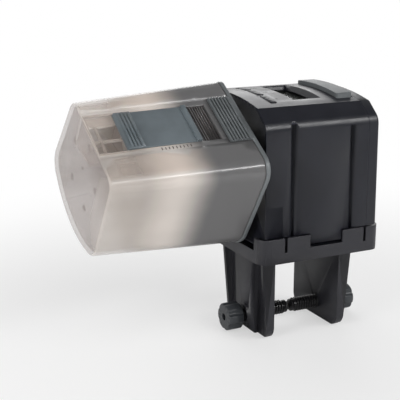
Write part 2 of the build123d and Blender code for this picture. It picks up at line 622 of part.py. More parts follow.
def make_base_screws():
    """Four screws up through the base plate into the housing's posts."""
    screws = []
    for x, y in LEFT_POSTS + RIGHT_POSTS:
        y = y * base_screw_share(y)
        head = rod_z(x, y, BASE_BOTTOM + 0.1, BASE_BOTTOM + BASE_HEAD_HEIGHT, BASE_HEAD)
        shank = rod_z(x, y, BASE_BOTTOM + 1, BASE_BOTTOM + BASE_SCREW_REACH, BASE_SCREW)
        slot = block(x - 1.5, x + 1.5, y - 0.3, y + 0.3, 0, BASE_BOTTOM + 0.7)
        screws.append(head + shank - slot)
    return Compound(children=[screw.solid() for screw in screws])


# ---------------------------------------------------------------- electronics
def make_display():
    """Clear window and the display module that stands on the board behind it."""
    window = window_block(0, -WINDOW_THICKNESS, -SLIDE_GAP / 6)
    module_top = -WINDOW_THICKNESS - SLIDE_GAP
    module_depth = DISPLAY_FLOOR - BOARD_TOP
    module = window_block(-2 * SLIDE_GAP, -2 * module_depth, module_top) & block(
        -HALF_BOX, HALF_BOX, -HALF_BOX, HALF_BOX, BOARD_TOP, HALF_BOX)
    glass = window_block(-GLASS_BORDER, module_top - GLASS_RECESS, module_depth)
    return window, module - glass


def make_board():
    """Circuit board under the top, with its four screws."""
    board = block(BOARD_LEFT, BOARD_RIGHT, -BOARD_HALF_WIDTH, BOARD_HALF_WIDTH, BOARD_BOTTOM, BOARD_TOP)
    chip = block(*CHIP, BOARD_BOTTOM - CHIP_HEIGHT, BOARD_BOTTOM)
    driver = block(*DRIVER, BOARD_BOTTOM - CHIP_HEIGHT, BOARD_BOTTOM)
    board = union([board, chip, driver])
    screws = []
    for x, y in BOARD_SCREWS:
        board -= rod_z(x, y, 0, HALF_BOX, SMALL_SCREW + SEAT_GAP)
        head = rod_z(x, y, BOARD_BOTTOM - SMALL_HEAD_HEIGHT, BOARD_BOTTOM, SMALL_HEAD)
        shank = rod_z(x, y, BOARD_BOTTOM - 0.5, BOARD_TOP + 3, SMALL_SCREW)
        slot = block(x - 1.2, x + 1.2, y - 0.2, y + 0.2, 0, BOARD_BOTTOM - SMALL_HEAD_HEIGHT / 2)
        screws.append((head + shank - slot).solid())
    return board, Compound(children=screws)


def make_button_pad():
    """Rubber pad with a raised dome under each button."""
    top = BOARD_TOP + PAD_THICKNESS
    half_x = PAD_SIZE[0] / 2
    half_y = PAD_SIZE[1] / 2
    pad = block(BUTTON_X - half_x, BUTTON_X + half_x, -half_y, half_y, BOARD_TOP, BOARD_TOP + PAD_WEB)
    for y in (-BUTTON_PITCH, 0, BUTTON_PITCH):
        pad += rod_z(BUTTON_X, y, BOARD_TOP, top, PAD_DOME_RADIUS)
    return pad


# ---------------------------------------------------------------- batteries
def make_cell(z, side):
    """One cell lying along Y; side says which way its nub points."""
    half = CELL_LENGTH / 2
    body = Pos(CELL_X, 0, z) * Rot(90, 0, 0) * Cylinder(CELL_RADIUS, CELL_LENGTH)
    body = fillet(body.edges().filter_by(GeomType.CIRCLE), 0.5)
    nub = Pos(CELL_X, side * (half + CELL_NUB / 2), z) * Rot(90, 0, 0) * Cylinder(CELL_NUB_RADIUS, CELL_NUB)
    return body + nub


def make_holder():
    """Open tray that holds both cells; they go in from the battery cover's side."""
    back = CELL_X - CELL_RADIUS - HOLDER_MARGIN
    front = SEAM_X - COVER_LIP - SLIDE_GAP
    low = CELL_Z[0] - CELL_RADIUS - HOLDER_MARGIN
    high = CELL_Z[1] + CELL_RADIUS + HOLDER_MARGIN
    outer = block(back - HOLDER_WALL, front, -HOLDER_HALF_WIDTH, HOLDER_HALF_WIDTH,
                  low - HOLDER_WALL, high + HOLDER_WALL)
    inner_y = HOLDER_HALF_WIDTH - HOLDER_WALL
    tray = outer - block(back, HALF_BOX, -inner_y, inner_y, low, high)
    middle = (CELL_Z[0] + CELL_Z[1]) / 2
    tray += block(back - 0.5, back + 4, -inner_y, inner_y, middle - 0.4, middle + 0.4)
    return tray


def make_contacts():
    """Flat contacts at the nubs, and coil springs with their plates at the cells' other ends."""
    end_y = HOLDER_HALF_WIDTH - HOLDER_WALL
    nub_y = CELL_LENGTH / 2 + CELL_NUB
    plates = []
    springs = []
    for z, side in zip(CELL_Z, (1, -1)):
        leaf = (nub_y + 0.02, end_y)
        flat = block(CELL_X - 5, CELL_X + 5, *leaf, z - 5, z + 5)
        flat -= block(CELL_X - 4.4, CELL_X + 4.4, leaf[0] + CONTACT_THICKNESS, end_y, z - 6, z + 6)
        back = block(CELL_X - 5, CELL_X + 5, -end_y, CONTACT_THICKNESS - end_y, z - 5, z + 5)
        coil = make_spring(z, -end_y + CONTACT_THICKNESS, -CELL_LENGTH / 2)
        group = [flat, back, coil]
        if side < 0:
            group = [mirror(piece, about=Plane.XZ) for piece in group]
        plates += [group[0].solid(), group[1].solid()]
        springs.append(group[2].solid())
    return Compound(children=plates), Compound(children=springs)


def make_spring(z, y0, y1):
    """Conical stack of coils between the end plate and the cell."""
    turns = 4
    coil = None
    pitch = (y1 - y0 - 2 * SPRING_WIRE - 0.06) / (turns - 1)
    for turn in range(turns):
        radius = 4.4 - 0.6 * turn
        ring = Pos(CELL_X, y0 + SPRING_WIRE + 0.03 + turn * pitch, z) * Rot(90, 0, 0) * Torus(radius, SPRING_WIRE)
        coil = ring if coil is None else coil + ring
        if turn < turns - 1:
            start = y0 + SPRING_WIRE + turn * pitch
            step = block(CELL_X - 0.3, CELL_X + 0.3, start, start + pitch, z + radius - 0.75, z + radius + 0.15)
            coil += step
    return coil


# ---------------------------------------------------------------- gears
def gear_outline(teeth, module, phase=0.0):
    """Involute gear outline about the origin; phase is the angle of one tooth's middle, in degrees."""
    pressure = radians(PRESSURE_ANGLE)
    pitch_radius = module * teeth / 2
    base = pitch_radius * cos(pressure)
    tip = pitch_radius + ADDENDUM * module
    root = pitch_radius - DEDENDUM * module
    half_tooth = (pi * module / 2 - BACKLASH) / (2 * pitch_radius)
    involute = tan(pressure) - pressure
    points = []
    for tooth in range(teeth):
        middle = radians(phase) + 2 * pi * tooth / teeth
        flank = [(root, half_tooth + involute)]
        steps = 4
        for step in range(steps + 1):
            radius = max(base, root) + (tip - max(base, root)) * step / steps
            roll = acos(min(1.0, base / radius))
            flank.append((radius, half_tooth + involute - (tan(roll) - roll)))
        for radius, angle in flank:
            points.append((radius * cos(middle - angle), radius * sin(middle - angle)))
        for radius, angle in reversed(flank):
            points.append((radius * cos(middle + angle), radius * sin(middle + angle)))
    return make_face(Polyline(*points, close=True))


def place_at_distance(a, reach_a, b, reach_b):
    """Point at the given distances from a and b, on the +Y side."""
    span = hypot(b[0] - a[0], b[1] - a[1])
    along = (reach_a ** 2 - reach_b ** 2 + span ** 2) / (2 * span)
    across = (reach_a ** 2 - along ** 2) ** 0.5
    unit = ((b[0] - a[0]) / span, (b[1] - a[1]) / span)
    return (a[0] + along * unit[0] + across * unit[1], a[1] + along * unit[1] - across * unit[0])


def first_idler_place():
    """Centre of the first idler, in mesh with the motor's pinion."""
    reach = FIRST_MODULE * (PINION_TEETH + FIRST_TEETH) / 2
    turn = radians(FIRST_IDLER_TURN)
    return (MOTOR_Y + reach * cos(turn), MOTOR_Z + reach * sin(turn))


def second_idler_place():
    """Centre of the second idler, in mesh with the first idler and the output gear."""
    reach_first = SECOND_MODULE * (PINION_TEETH + SECOND_TEETH) / 2
    reach_output = OUTPUT_MODULE * (PINION_TEETH + OUTPUT_TEETH) / 2
    return place_at_distance(first_idler_place(), reach_first, (0.0, AXIS_Z), reach_output)


def direction(a, b):
    """Angle of the line from a to b, in degrees."""
    return degrees(atan2(b[1] - a[1], b[0] - a[0]))


def meshed_phase(teeth_a, phase_a, line, teeth_b):
    """Tooth angle of gear b that puts its gap on gear a's tooth; line points from a to b."""
    return line + 180 - 180 / teeth_b + (line - phase_a) * teeth_a / teeth_b


def gear_at(place, layer, teeth, module, phase, x0=None):
    """A gear in its layer, counted from the drum-side wall."""
    start = GEARS_LEFT + layer * LAYER_PITCH if x0 is None else x0
    end = GEARS_LEFT + layer * LAYER_PITCH + GEAR_LAYER
    return Pos(0, place[0], place[1]) * along_x(gear_outline(teeth, module, phase), start, end)


def make_gears():
    """Output gear, both idlers and the motor's pinion, in mesh."""
    output = (0.0, AXIS_Z)
    second = second_idler_place()
    first = first_idler_place()
    motor = (MOTOR_Y, MOTOR_Z)
    output_gear = gear_at(output, 0, OUTPUT_TEETH, OUTPUT_MODULE, 0.0)
    output_gear -= rod_x(-HALF_BOX, 0, *output, SHAFT_RADIUS + SEAT_GAP)
    phase = meshed_phase(OUTPUT_TEETH, 0.0, direction(output, second), PINION_TEETH)
    second_pinion = gear_at(second, 0, PINION_TEETH, OUTPUT_MODULE, phase)
    second_wheel = gear_at(second, 1, SECOND_TEETH, SECOND_MODULE, 0.0)
    bridge = rod_x(GEARS_LEFT + GEAR_LAYER, GEARS_LEFT + LAYER_PITCH, *second, 3.6)
    second_gear = union([second_pinion, bridge, second_wheel])
    second_gear += rod_x(GEARS_LEFT + LAYER_PITCH + GEAR_LAYER, PLATE_LEFT - SLIDE_GAP, *second, 2.2)
    second_gear -= rod_x(-HALF_BOX, 0, *second, PIN_RADIUS + RUN_GAP)
    phase = meshed_phase(SECOND_TEETH, 0.0, direction(second, first), PINION_TEETH)
    first_pinion = gear_at(first, 1, PINION_TEETH, SECOND_MODULE, phase)
    first_wheel = gear_at(first, 2, FIRST_TEETH, FIRST_MODULE, 0.0)
    bridge = rod_x(GEARS_LEFT + LAYER_PITCH + GEAR_LAYER, GEARS_LEFT + 2 * LAYER_PITCH, *first, 3.0)
    first_gear = union([first_pinion, bridge, first_wheel])
    first_gear += rod_x(WALL_RIGHT + SLIDE_GAP, GEARS_LEFT + LAYER_PITCH, *first, 2.0)
    first_gear -= rod_x(-HALF_BOX, 0, *first, PIN_RADIUS + RUN_GAP)
    phase = meshed_phase(FIRST_TEETH, 0.0, direction(first, motor), PINION_TEETH)
    pinion = gear_at(motor, 2, PINION_TEETH, FIRST_MODULE, phase)
    pinion -= rod_x(-HALF_BOX, 0, *motor, PIN_RADIUS + SEAT_GAP)
    return output_gear, second_gear, first_gear, pinion


def make_motor():
    """Motor can behind the gearbox plate, and its shaft."""
    back = PLATE_RIGHT + MOTOR_LENGTH
    can = rod_x(PLATE_RIGHT, back, MOTOR_Y, MOTOR_Z, MOTOR_RADIUS)
    can = can & block(PLATE_RIGHT, back, -HALF_BOX, HALF_BOX, MOTOR_Z - MOTOR_FLAT, MOTOR_Z + MOTOR_FLAT)
    can += rod_x(PLATE_LEFT + 0.2, PLATE_RIGHT + 1, MOTOR_Y, MOTOR_Z, MOTOR_BOSS)
    can += rod_x(back - 1, back + 1.2, MOTOR_Y, MOTOR_Z, MOTOR_BOSS)
    bore = rod_x(-HALF_BOX, back - 4, MOTOR_Y, MOTOR_Z, PIN_RADIUS + RUN_GAP)
    can -= bore
    shaft_left = GEARS_LEFT + 2 * LAYER_PITCH - 0.4
    shaft = rod_x(shaft_left, back - 4 - SLIDE_GAP, MOTOR_Y, MOTOR_Z, PIN_RADIUS)
    return can, shaft


def make_gearbox():
    """Plate that carries the motor, the idler pins and the shaft's end; its screws, pins and switch."""
    first = first_idler_place()
    second = second_idler_place()
    plate = block(PLATE_LEFT, PLATE_RIGHT, *PLATE_Y, *PLATE_Z)
    plate = fillet(plate.edges().filter_by(Axis.X), 3)
    plate -= rod_x(-HALF_BOX, HALF_BOX, 0, AXIS_Z, SHAFT_RADIUS + RUN_GAP)
    plate -= rod_x(-HALF_BOX, HALF_BOX, MOTOR_Y, MOTOR_Z, MOTOR_BOSS + SEAT_GAP)
    pins = []
    for place in (first, second):
        plate -= rod_x(-HALF_BOX, HALF_BOX, *place, PIN_RADIUS + SEAT_GAP)
        pins.append(rod_x(WALL_RIGHT - WALL / 2 + 0.1, PLATE_RIGHT, *place, PIN_RADIUS).solid())
    screws = []
    for y, z in PLATE_SCREWS:
        plate -= rod_x(-HALF_BOX, HALF_BOX, y, z, SMALL_SCREW + SEAT_GAP)
        head = rod_x(PLATE_RIGHT, PLATE_RIGHT + SMALL_HEAD_HEIGHT, y, z, SMALL_HEAD)
        shank = rod_x(PLATE_LEFT - BASE_SCREW_REACH + SLIDE_GAP, PLATE_RIGHT + 0.5, y, z, SMALL_SCREW)
        slot = block(PLATE_RIGHT + 0.6, HALF_BOX, y - 1.2, y + 1.2, z - 0.2, z + 0.2)
        screws.append((head + shank - slot).solid())
    length, width, height = SWITCH_SIZE
    right = PLATE_LEFT
    near = -CAM_RADIUS - 2.6
    body = block(right - length, right, near - width, near, AXIS_Z - height / 2, AXIS_Z + height / 2)
    lever = block(right - length + 1, right - 1, near - 0.5, near + 0.3, AXIS_Z - height / 2, AXIS_Z + 3)
    nose = rod_x(right - length + 1, right - 1, near + 1.2, AXIS_Z + 1.8, 1.1)
    return plate, Compound(children=screws), Compound(children=pins), union([body, lever, nose])


def bush_radius():
    """Outside of the hub's bush."""
    return JOURNAL_RADIUS + RUN_GAP + BUSH_WALL


def make_drive():
    """Drive hub with its hexagonal spigot, the bush it turns in, and the switch cam on its shaft."""
    spigot_left = HUB_FACE - SOCKET_DEPTH + 2 * SLIDE_GAP
    hexagon = RegularPolygon(HUB_FLATS / 2, 6, major_radius=False)
    spigot = Pos(0, 0, AXIS_Z) * Rot(DRUM_TURN, 0, 0) * along_x(hexagon, spigot_left, HUB_RIGHT)
    spigot = spigot & rod_x(spigot_left, HUB_RIGHT, 0, AXIS_Z, HUB_FLATS / 2 + 0.5)
    hub = spigot + rod_x(HUB_FACE, HUB_RIGHT, 0, AXIS_Z, HUB_FLANGE_RADIUS)
    journal_right = GEARS_LEFT - SLIDE_GAP / 2
    hub += rod_x(HUB_RIGHT - 0.5, journal_right, 0, AXIS_Z, JOURNAL_RADIUS)
    hub += rod_x(journal_right - 0.5, PLATE_RIGHT, 0, AXIS_Z, SHAFT_RADIUS)
    bush = rod_x(WALL_LEFT - SLIDE_GAP, WALL_RIGHT + SLIDE_GAP, 0, AXIS_Z, bush_radius())
    bush -= rod_x(-HALF_BOX, 0, 0, AXIS_Z, JOURNAL_RADIUS + RUN_GAP)
    cam_right = PLATE_LEFT - 1.6
    cam = rod_x(cam_right - CAM_WIDTH, cam_right, 0, AXIS_Z, CAM_RADIUS)
    cam -= rod_x(-HALF_BOX, 0, 0, AXIS_Z, SHAFT_RADIUS + SEAT_GAP)
    cam -= Pos(0, 0, AXIS_Z) * Rot(DRUM_TURN, 0, 0) * block(-HALF_BOX, 0, -1.2, 1.2, CAM_RADIUS - 1.4, 9)
    return hub, bush, cam


# ---------------------------------------------------------------- drum
def drum_frame(piece):
    """Turn and lift a piece drawn about the X axis, with the gate side up, to its place at rest."""
    return Pos(0, 0, AXIS_Z) * Rot(DRUM_TURN, 0, 0) * piece


def channel_frame(piece):
    """Lay a piece drawn with the gate side level at height 0, and X from the drum's left end, on it."""
    return Pos(DRUM_LEFT, 0, DRUM_FACET) * Rot(0, -DRUM_DRAFT, 0) * piece


def along_channel(x):
    """Distance along the sloping gate side for a place on the X axis."""
    return (x - DRUM_LEFT) / cos(radians(DRUM_DRAFT))


def channel_block(x0, x1, u0, u1, depth0, depth1):
    """Block set by its places along X and across the channel, and its depths below the gate side."""
    return channel_frame(block(along_channel(x0), along_channel(x1), u0, u1, -depth1, -depth0))


def drum_growth(x):
    """How much wider each side of the drum is at x than at its left end."""
    return (x - DRUM_LEFT) * tan(radians(DRUM_DRAFT))


def drum_outline(x, grow=0.0):
    """Section of the drum at x, grown or shrunk evenly: flat gate side up, arched side down."""
    half = DRUM_HALF
    sides = Polyline((-half, DRUM_SIDE_LOW), (-half, DRUM_FACET), (DRUM_FAR_TOP, DRUM_FACET), (half, DRUM_SIDE_LOW))
    arch = ThreePointArc((half, DRUM_SIDE_LOW), (0, DRUM_ARCH_LOW), (-half, DRUM_SIDE_LOW))
    growth = drum_growth(x)
    face = offset(make_face(sides + arch), growth, kind=Kind.INTERSECTION) if growth else make_face(sides + arch)
    share = (x - DRUM_LEFT) / (DRUM_RIGHT - DRUM_LEFT)
    far_corner = DRUM_FAR_CORNER + share * (DRUM_FAR_CORNER_RIGHT - DRUM_FAR_CORNER)
    face = fillet([v for v in face.vertices() if v.Y < 0], DRUM_LOW_CORNER + growth)
    near_corner = DRUM_NEAR_CORNER + growth
    face = fillet([v for v in face.vertices() if v.Y > DRUM_FACET - 0.01 and v.X < -half / 2], near_corner)
    face = fillet([v for v in face.vertices() if v.Y > DRUM_FACET - 0.01 and v.X > half / 2], far_corner)
    return offset(face, grow) if grow else face


def drum_prism(x0, x1, grow=0.0):
    """The drafted drum between two places, grown or shrunk evenly."""
    ends = [Plane.YZ.offset(x) * drum_outline(x, grow) for x in (x0, x1)]
    return loft(ends, ruled=True)


def make_hopper():
    """Clear drum shell with its channel, outlet grid, dosing baffle and detent ribs."""
    outer = drum_prism(DRUM_LEFT, HOPPER_RIGHT)
    outer = fillet(outer.faces().sort_by(Axis.X)[0].edges(), DRUM_END_EDGE)
    cavity = drum_prism(DRUM_LEFT + DRUM_END_WALL, HOPPER_RIGHT + 1, -DRUM_WALL)
    shell = outer - cavity
    floor_depth = SLOT_DEPTH + CHANNEL_FLOOR
    slab = channel_block(DRUM_LEFT + 0.1, HOPPER_RIGHT, CHANNEL_U[0] - 1.4, CHANNEL_U[1] + 1.4,
                         DRUM_WALL / 2, floor_depth)
    shell += slab & drum_prism(DRUM_LEFT + 0.2, HOPPER_RIGHT, -0.2)
    shell += make_baffle()
    shell -= channel_block(DRUM_LEFT - 1, HOPPER_RIGHT + 1, *CHANNEL_U, -1, CHANNEL_DEPTH)
    slot_start = GATE_LEFT - GATE_CLOSE - 2 * SLIDE_GAP
    slot_end = GATE_RIGHT + GATE_OPEN + SLIDE_GAP
    rib_end = DETENT_X + DETENT_COUNT * DETENT_PITCH
    shell -= channel_block(slot_start, rib_end, *SLOT_U, 0, SLOT_DEPTH)
    shell -= channel_block(slot_start, slot_end, *GROOVE_U, SLOT_DEPTH - GROOVE_HEIGHT, SLOT_DEPTH)
    for rib in range(DETENT_COUNT):
        x = DETENT_X + rib * DETENT_PITCH
        shell += channel_block(x, x + DETENT_PITCH / 2, SLOT_U[0] - 0.1, SLOT_U[1] + 0.1,
                               SLOT_DEPTH - DETENT_HEIGHT, SLOT_DEPTH + 0.2)
    middle_u = (OUTLET_U[0] + OUTLET_U[1]) / 2
    half_bar = OUTLET_BAR / 2
    for x0, x1 in ((OUTLET_X[0], OUTLET_BAR_X - half_bar), (OUTLET_BAR_X + half_bar, OUTLET_X[1])):
        for u0, u1 in ((OUTLET_U[0], middle_u - half_bar), (middle_u + half_bar, OUTLET_U[1])):
            shell -= channel_block(x0, x1, u0, u1, SLOT_DEPTH - 1, floor_depth + 1)
    return drum_frame(shell)


def make_baffle():
    """L-shaped wall that scoops one portion under the outlet, closed at its right end."""
    left = DRUM_LEFT + DRUM_END_WALL / 2
    top = DRUM_FACET - DRUM_WALL / 2
    outer = BAFFLE_OUTER
    inner = BAFFLE_INNER
    wall = BAFFLE_WALL
    leaf = Polyline((outer[0] - 1.2, top), (outer[0] - 1.2 - wall, top),
                    (outer[0] - wall, outer[1] + wall), (inner[0], inner[1] + wall),
                    (inner[0], inner[1]), outer, close=True)
    end = Polyline((outer[0] - 1.2, top), (inner[0], top), (inner[0], inner[1] + wall / 2),
                   (outer[0] - wall / 2, outer[1] + wall / 2), close=True)
    leaves = along_x(make_face(leaf), left, BAFFLE_RIGHT)
    closing = along_x(make_face(end), BAFFLE_RIGHT - wall, BAFFLE_RIGHT)
    return leaves + closing


def make_gate():
    """Portion gate: thin plate in the grooves, flat panel, ribbed thumb grip and end ridge."""
    plate_bottom = SLOT_DEPTH - 0.1
    plate_top = plate_bottom - GATE_PLATE
    gate = channel_block(GATE_LEFT, GATE_RIGHT, GROOVE_U[0] + 0.2, GROOVE_U[1] - 0.2, plate_top, plate_bottom)
    body_u = (SLOT_U[0] + SLIDE_GAP, SLOT_U[1] - SLIDE_GAP)
    gate += channel_block(GATE_LEFT, GATE_RIGHT, *body_u, GATE_TOP_DEPTH, plate_bottom)
    grip_right = GATE_LEFT + GATE_GRIP_LENGTH
    gate += channel_block(GATE_LEFT, grip_right, *body_u, 0, GATE_TOP_DEPTH + 0.1)
    pitch = GATE_GRIP_LENGTH / (GATE_GRIP_RIBS + 1)
    for rib in range(GATE_GRIP_RIBS):
        x = GATE_LEFT + (rib + 1) * pitch
        gate += channel_block(x, x + pitch / 2, body_u[0] + 0.8, body_u[1] - 0.8, -GATE_GRIP_PROUD, 0.1)
    gate += channel_block(GATE_RIGHT - GATE_RIDGE, GATE_RIGHT, *body_u, -GATE_RIDGE_PROUD, GATE_TOP_DEPTH + 0.1)
    return drum_frame(gate)


def make_cap():
    """Lid of the drum: flange, skirt inside the hopper, grip tongue and the hub's socket."""
    flange = along_x(drum_outline(CAP_FACE, CAP_OVERHANG), CAP_FACE, DRUM_RIGHT)
    flange = fillet(flange.edges().filter_by(Plane.YZ), 0.6)
    start = CAP_FACE - CAP_SKIRT_LENGTH
    inset = DRUM_WALL + SLIDE_GAP
    skirt = drum_prism(start, CAP_FACE + 0.5, -inset)
    skirt -= drum_prism(start - 0.1, CAP_FACE + 0.6, -inset - CAP_SKIRT)
    deep = SLOT_DEPTH + CHANNEL_FLOOR + 0.6
    skirt -= channel_block(start - 1, CAP_FACE, CHANNEL_U[0] - 2, CHANNEL_U[1] + 2, -3, deep)
    tongue_u = (CHANNEL_U[0] + SLIDE_GAP, CHANNEL_U[1] - SLIDE_GAP)
    depth = CHANNEL_DEPTH - SLIDE_GAP - 0.1
    tongue = channel_block(TONGUE_LEFT, CAP_FACE + 0.5, *tongue_u, TONGUE_RIB_HEIGHT - TONGUE_PROUD, depth)
    pitch = (CAP_FACE - TONGUE_LEFT) / TONGUE_RIBS
    for rib in range(TONGUE_RIBS):
        x = TONGUE_LEFT + rib * pitch
        tongue += channel_block(x, x + 0.5 * pitch, *tongue_u, -TONGUE_PROUD, depth)
    socket = rod_x(HUB_FACE - SOCKET_DEPTH, CAP_FACE + 0.5, 0, 0, HUB_FLATS / 2 + 0.7 + SOCKET_WALL)
    cap = union([flange, skirt, tongue, socket])
    hexagon = RegularPolygon(HUB_FLATS / 2 + 0.1, 6, major_radius=False)
    hollow = along_x(hexagon, HUB_FACE - SOCKET_DEPTH + SLIDE_GAP, 0)
    hollow = hollow & rod_x(-HALF_BOX, 0, 0, 0, HUB_FLATS / 2 + 0.6)
    return drum_frame(cap - hollow)


# ---------------------------------------------------------------- build every piece
def build():
    """Make every piece and return them by name."""
    pieces = {"clamp_bracket": make_bracket(), "housing": make_housing()}
    for name, side, tip in (("left", -1, LEFT_TIP_X), ("right", 1, RIGHT_TIP_X)):
        knob, rod, end = make_clamp(side, tip)
        pieces[f"{name}_clamp_knob"] = knob
        pieces[f"{name}_clamp_screw"] = rod
        pieces[f"{name}_pressure_tip"] = end
    for name, y in (("mode_button", -BUTTON_PITCH), ("set_button", 0.0), ("feed_button", BUTTON_PITCH)):
        pieces[name] = make_button(y)
    pieces["battery_cover"] = make_battery_cover()
    pieces["cover_latch"] = make_latch()
    pieces["base_plate"] = make_base_plate()
    pieces["base_screws"] = make_base_screws()
    pieces["display_window"], pieces["display_module"] = make_display()
    pieces["circuit_board"], pieces["board_screws"] = make_board()
    pieces["button_pad"] = make_button_pad()
    pieces["battery_holder"] = make_holder()
    pieces["lower_battery"] = make_cell(CELL_Z[0], 1)
    pieces["upper_battery"] = make_cell(CELL_Z[1], -1)
    pieces["contact_plates"], pieces["contact_springs"] = make_contacts()
    pieces["motor"], pieces["motor_shaft"] = make_motor()
    gears = make_gears()
    for name, gear in zip(("output_gear", "second_idler_gear", "first_idler_gear", "motor_pinion"), gears):
        pieces[name] = gear
    plate, screws, pins, switch = make_gearbox()
    pieces.update({"gearbox_plate": plate, "gearbox_screws": screws, "idler_pins": pins, "position_switch": switch})
    pieces["drive_hub"], pieces["hub_bush"], pieces["switch_cam"] = make_drive()
    pieces["hopper"] = make_hopper()
    pieces["hopper_cap"] = make_cap()
    pieces["portion_gate"] = make_gate()
    return pieces


for piece_name, piece_shape in build().items():
    save(piece_name, piece_shape)
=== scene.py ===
"""Aquarium fish feeder: finishes, screw threads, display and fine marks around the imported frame.

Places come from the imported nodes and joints, and the sizes of fine marks are fields of their classes.
Lengths are in metres and angles in degrees.
"""
import json
import logging
import math
from abc import ABC, abstractmethod
from collections.abc import Mapping
from dataclasses import dataclass, field
from enum import Enum

import bmesh
import bpy
from mathutils import Matrix, Vector
from mathutils.bvhtree import BVHTree


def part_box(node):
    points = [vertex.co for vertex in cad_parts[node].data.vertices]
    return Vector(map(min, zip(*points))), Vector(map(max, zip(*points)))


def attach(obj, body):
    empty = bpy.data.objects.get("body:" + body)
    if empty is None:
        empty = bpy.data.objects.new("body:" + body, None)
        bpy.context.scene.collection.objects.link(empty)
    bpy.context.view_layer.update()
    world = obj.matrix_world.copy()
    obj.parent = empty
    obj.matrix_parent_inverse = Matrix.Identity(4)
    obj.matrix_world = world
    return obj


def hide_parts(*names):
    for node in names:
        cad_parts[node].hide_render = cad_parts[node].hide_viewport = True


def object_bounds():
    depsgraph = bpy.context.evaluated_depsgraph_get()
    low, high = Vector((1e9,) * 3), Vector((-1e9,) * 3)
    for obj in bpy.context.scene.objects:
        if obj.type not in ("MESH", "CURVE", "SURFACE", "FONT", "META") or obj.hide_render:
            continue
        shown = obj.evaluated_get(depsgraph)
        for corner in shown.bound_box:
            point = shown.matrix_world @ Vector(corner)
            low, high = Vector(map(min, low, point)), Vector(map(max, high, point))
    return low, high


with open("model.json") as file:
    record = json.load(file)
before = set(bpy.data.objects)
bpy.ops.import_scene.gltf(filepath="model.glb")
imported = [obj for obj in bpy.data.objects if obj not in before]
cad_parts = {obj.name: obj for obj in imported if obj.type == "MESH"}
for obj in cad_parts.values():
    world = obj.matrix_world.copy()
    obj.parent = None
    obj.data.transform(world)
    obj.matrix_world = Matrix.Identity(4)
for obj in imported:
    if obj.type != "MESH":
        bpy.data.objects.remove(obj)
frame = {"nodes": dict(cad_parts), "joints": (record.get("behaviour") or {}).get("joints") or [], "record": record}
CAD_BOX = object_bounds()

LOG = logging.getLogger("feeder")
MM = 0.001
QUARTER_TURN = math.radians(90)
MERGE_GAP = 0.002 * MM
SHARP_ANGLE = 28.0
PERCH_DROP = 10 * MM
RIDGE_SHARE = 0.62
RIDGE_SIDES = 4
TURN_STEPS = 28
ROD_SIDES = 40
DISC_SIDES = 24
WHITE = (1.0, 1.0, 1.0, 1.0)
NOISE_MIDDLE = (0.3, 0.7)
NOISE_MOST = (0.2, 0.8)
NOISE_UPPER = (0.3, 0.8)
Colour = tuple[float, float, float]
Point = tuple[float, float, float]
Span = tuple[float, float]


class Grain(Enum):
    """How a mould's surface was finished: the depth and the size of its texture."""

    SPARK = (0.03 * MM, 0.32 * MM)
    SATIN = (0.012 * MM, 0.5 * MM)


def scaled(colour: Colour, factor: float) -> Colour:
    """Colour made lighter or darker, but not past white."""
    return tuple(min(1.0, part * factor) for part in colour)


# ---------------------------------------------------------------- shading
class Shade:
    """A shader socket on which sums can be written."""

    def __init__(self, bench: "Bench", socket: bpy.types.NodeSocket) -> None:
        """Keep the socket and the bench it belongs to."""
        self.bench = bench
        self.socket = socket

    def _math(self, operation: str, *terms: "Shade | float") -> "Shade":
        """Add a Math node.

        Args:
            operation: the node's operation.
            terms: its inputs, in order.

        Returns:
            The node's result.
        """
        return self.bench.node("ShaderNodeMath", {"operation": operation}, dict(enumerate(terms)))

    def __add__(self, other: "Shade | float") -> "Shade":
        """Sum."""
        return self._math("ADD", self, other)

    __radd__ = __add__

    def __sub__(self, other: "Shade | float") -> "Shade":
        """Difference."""
        return self._math("SUBTRACT", self, other)

    def __rsub__(self, other: float) -> "Shade":
        """Difference from a number."""
        return self._math("SUBTRACT", other, self)

    def __mul__(self, other: "Shade | float") -> "Shade":
        """Product."""
        return self._math("MULTIPLY", self, other)

    __rmul__ = __mul__

    def __gt__(self, other: float) -> "Shade":
        """1 where this is greater, and 0 elsewhere."""
        return self._math("GREATER_THAN", self, other)

    def __abs__(self) -> "Shade":
        """Size without its sign."""
        return self._math("ABSOLUTE", self)

    def larger(self, other: "Shade") -> "Shade":
        """The larger of two."""
        return self._math("MAXIMUM", self, other)

    def pingpong(self, size: float) -> "Shade":
        """Wave that climbs from 0 to a size and falls back to 0."""
        return self._math("PINGPONG", self, size)

    def ramp(self, low: float, high: float, start: float = 0.0, end: float = 1.0) -> "Shade":
        """Smooth step between two levels.

        Args:
            low: level where the result is start.
            high: level where the result is end.
            start: result at and below low.
            end: result at and above high.

        Returns:
            The stepped value.
        """
        settings = {"interpolation_type": "SMOOTHSTEP"}
        values = {"Value": self, "From Min": low, "From Max": high, "To Min": start, "To Max": end}
        return self.bench.node("ShaderNodeMapRange", settings, values)


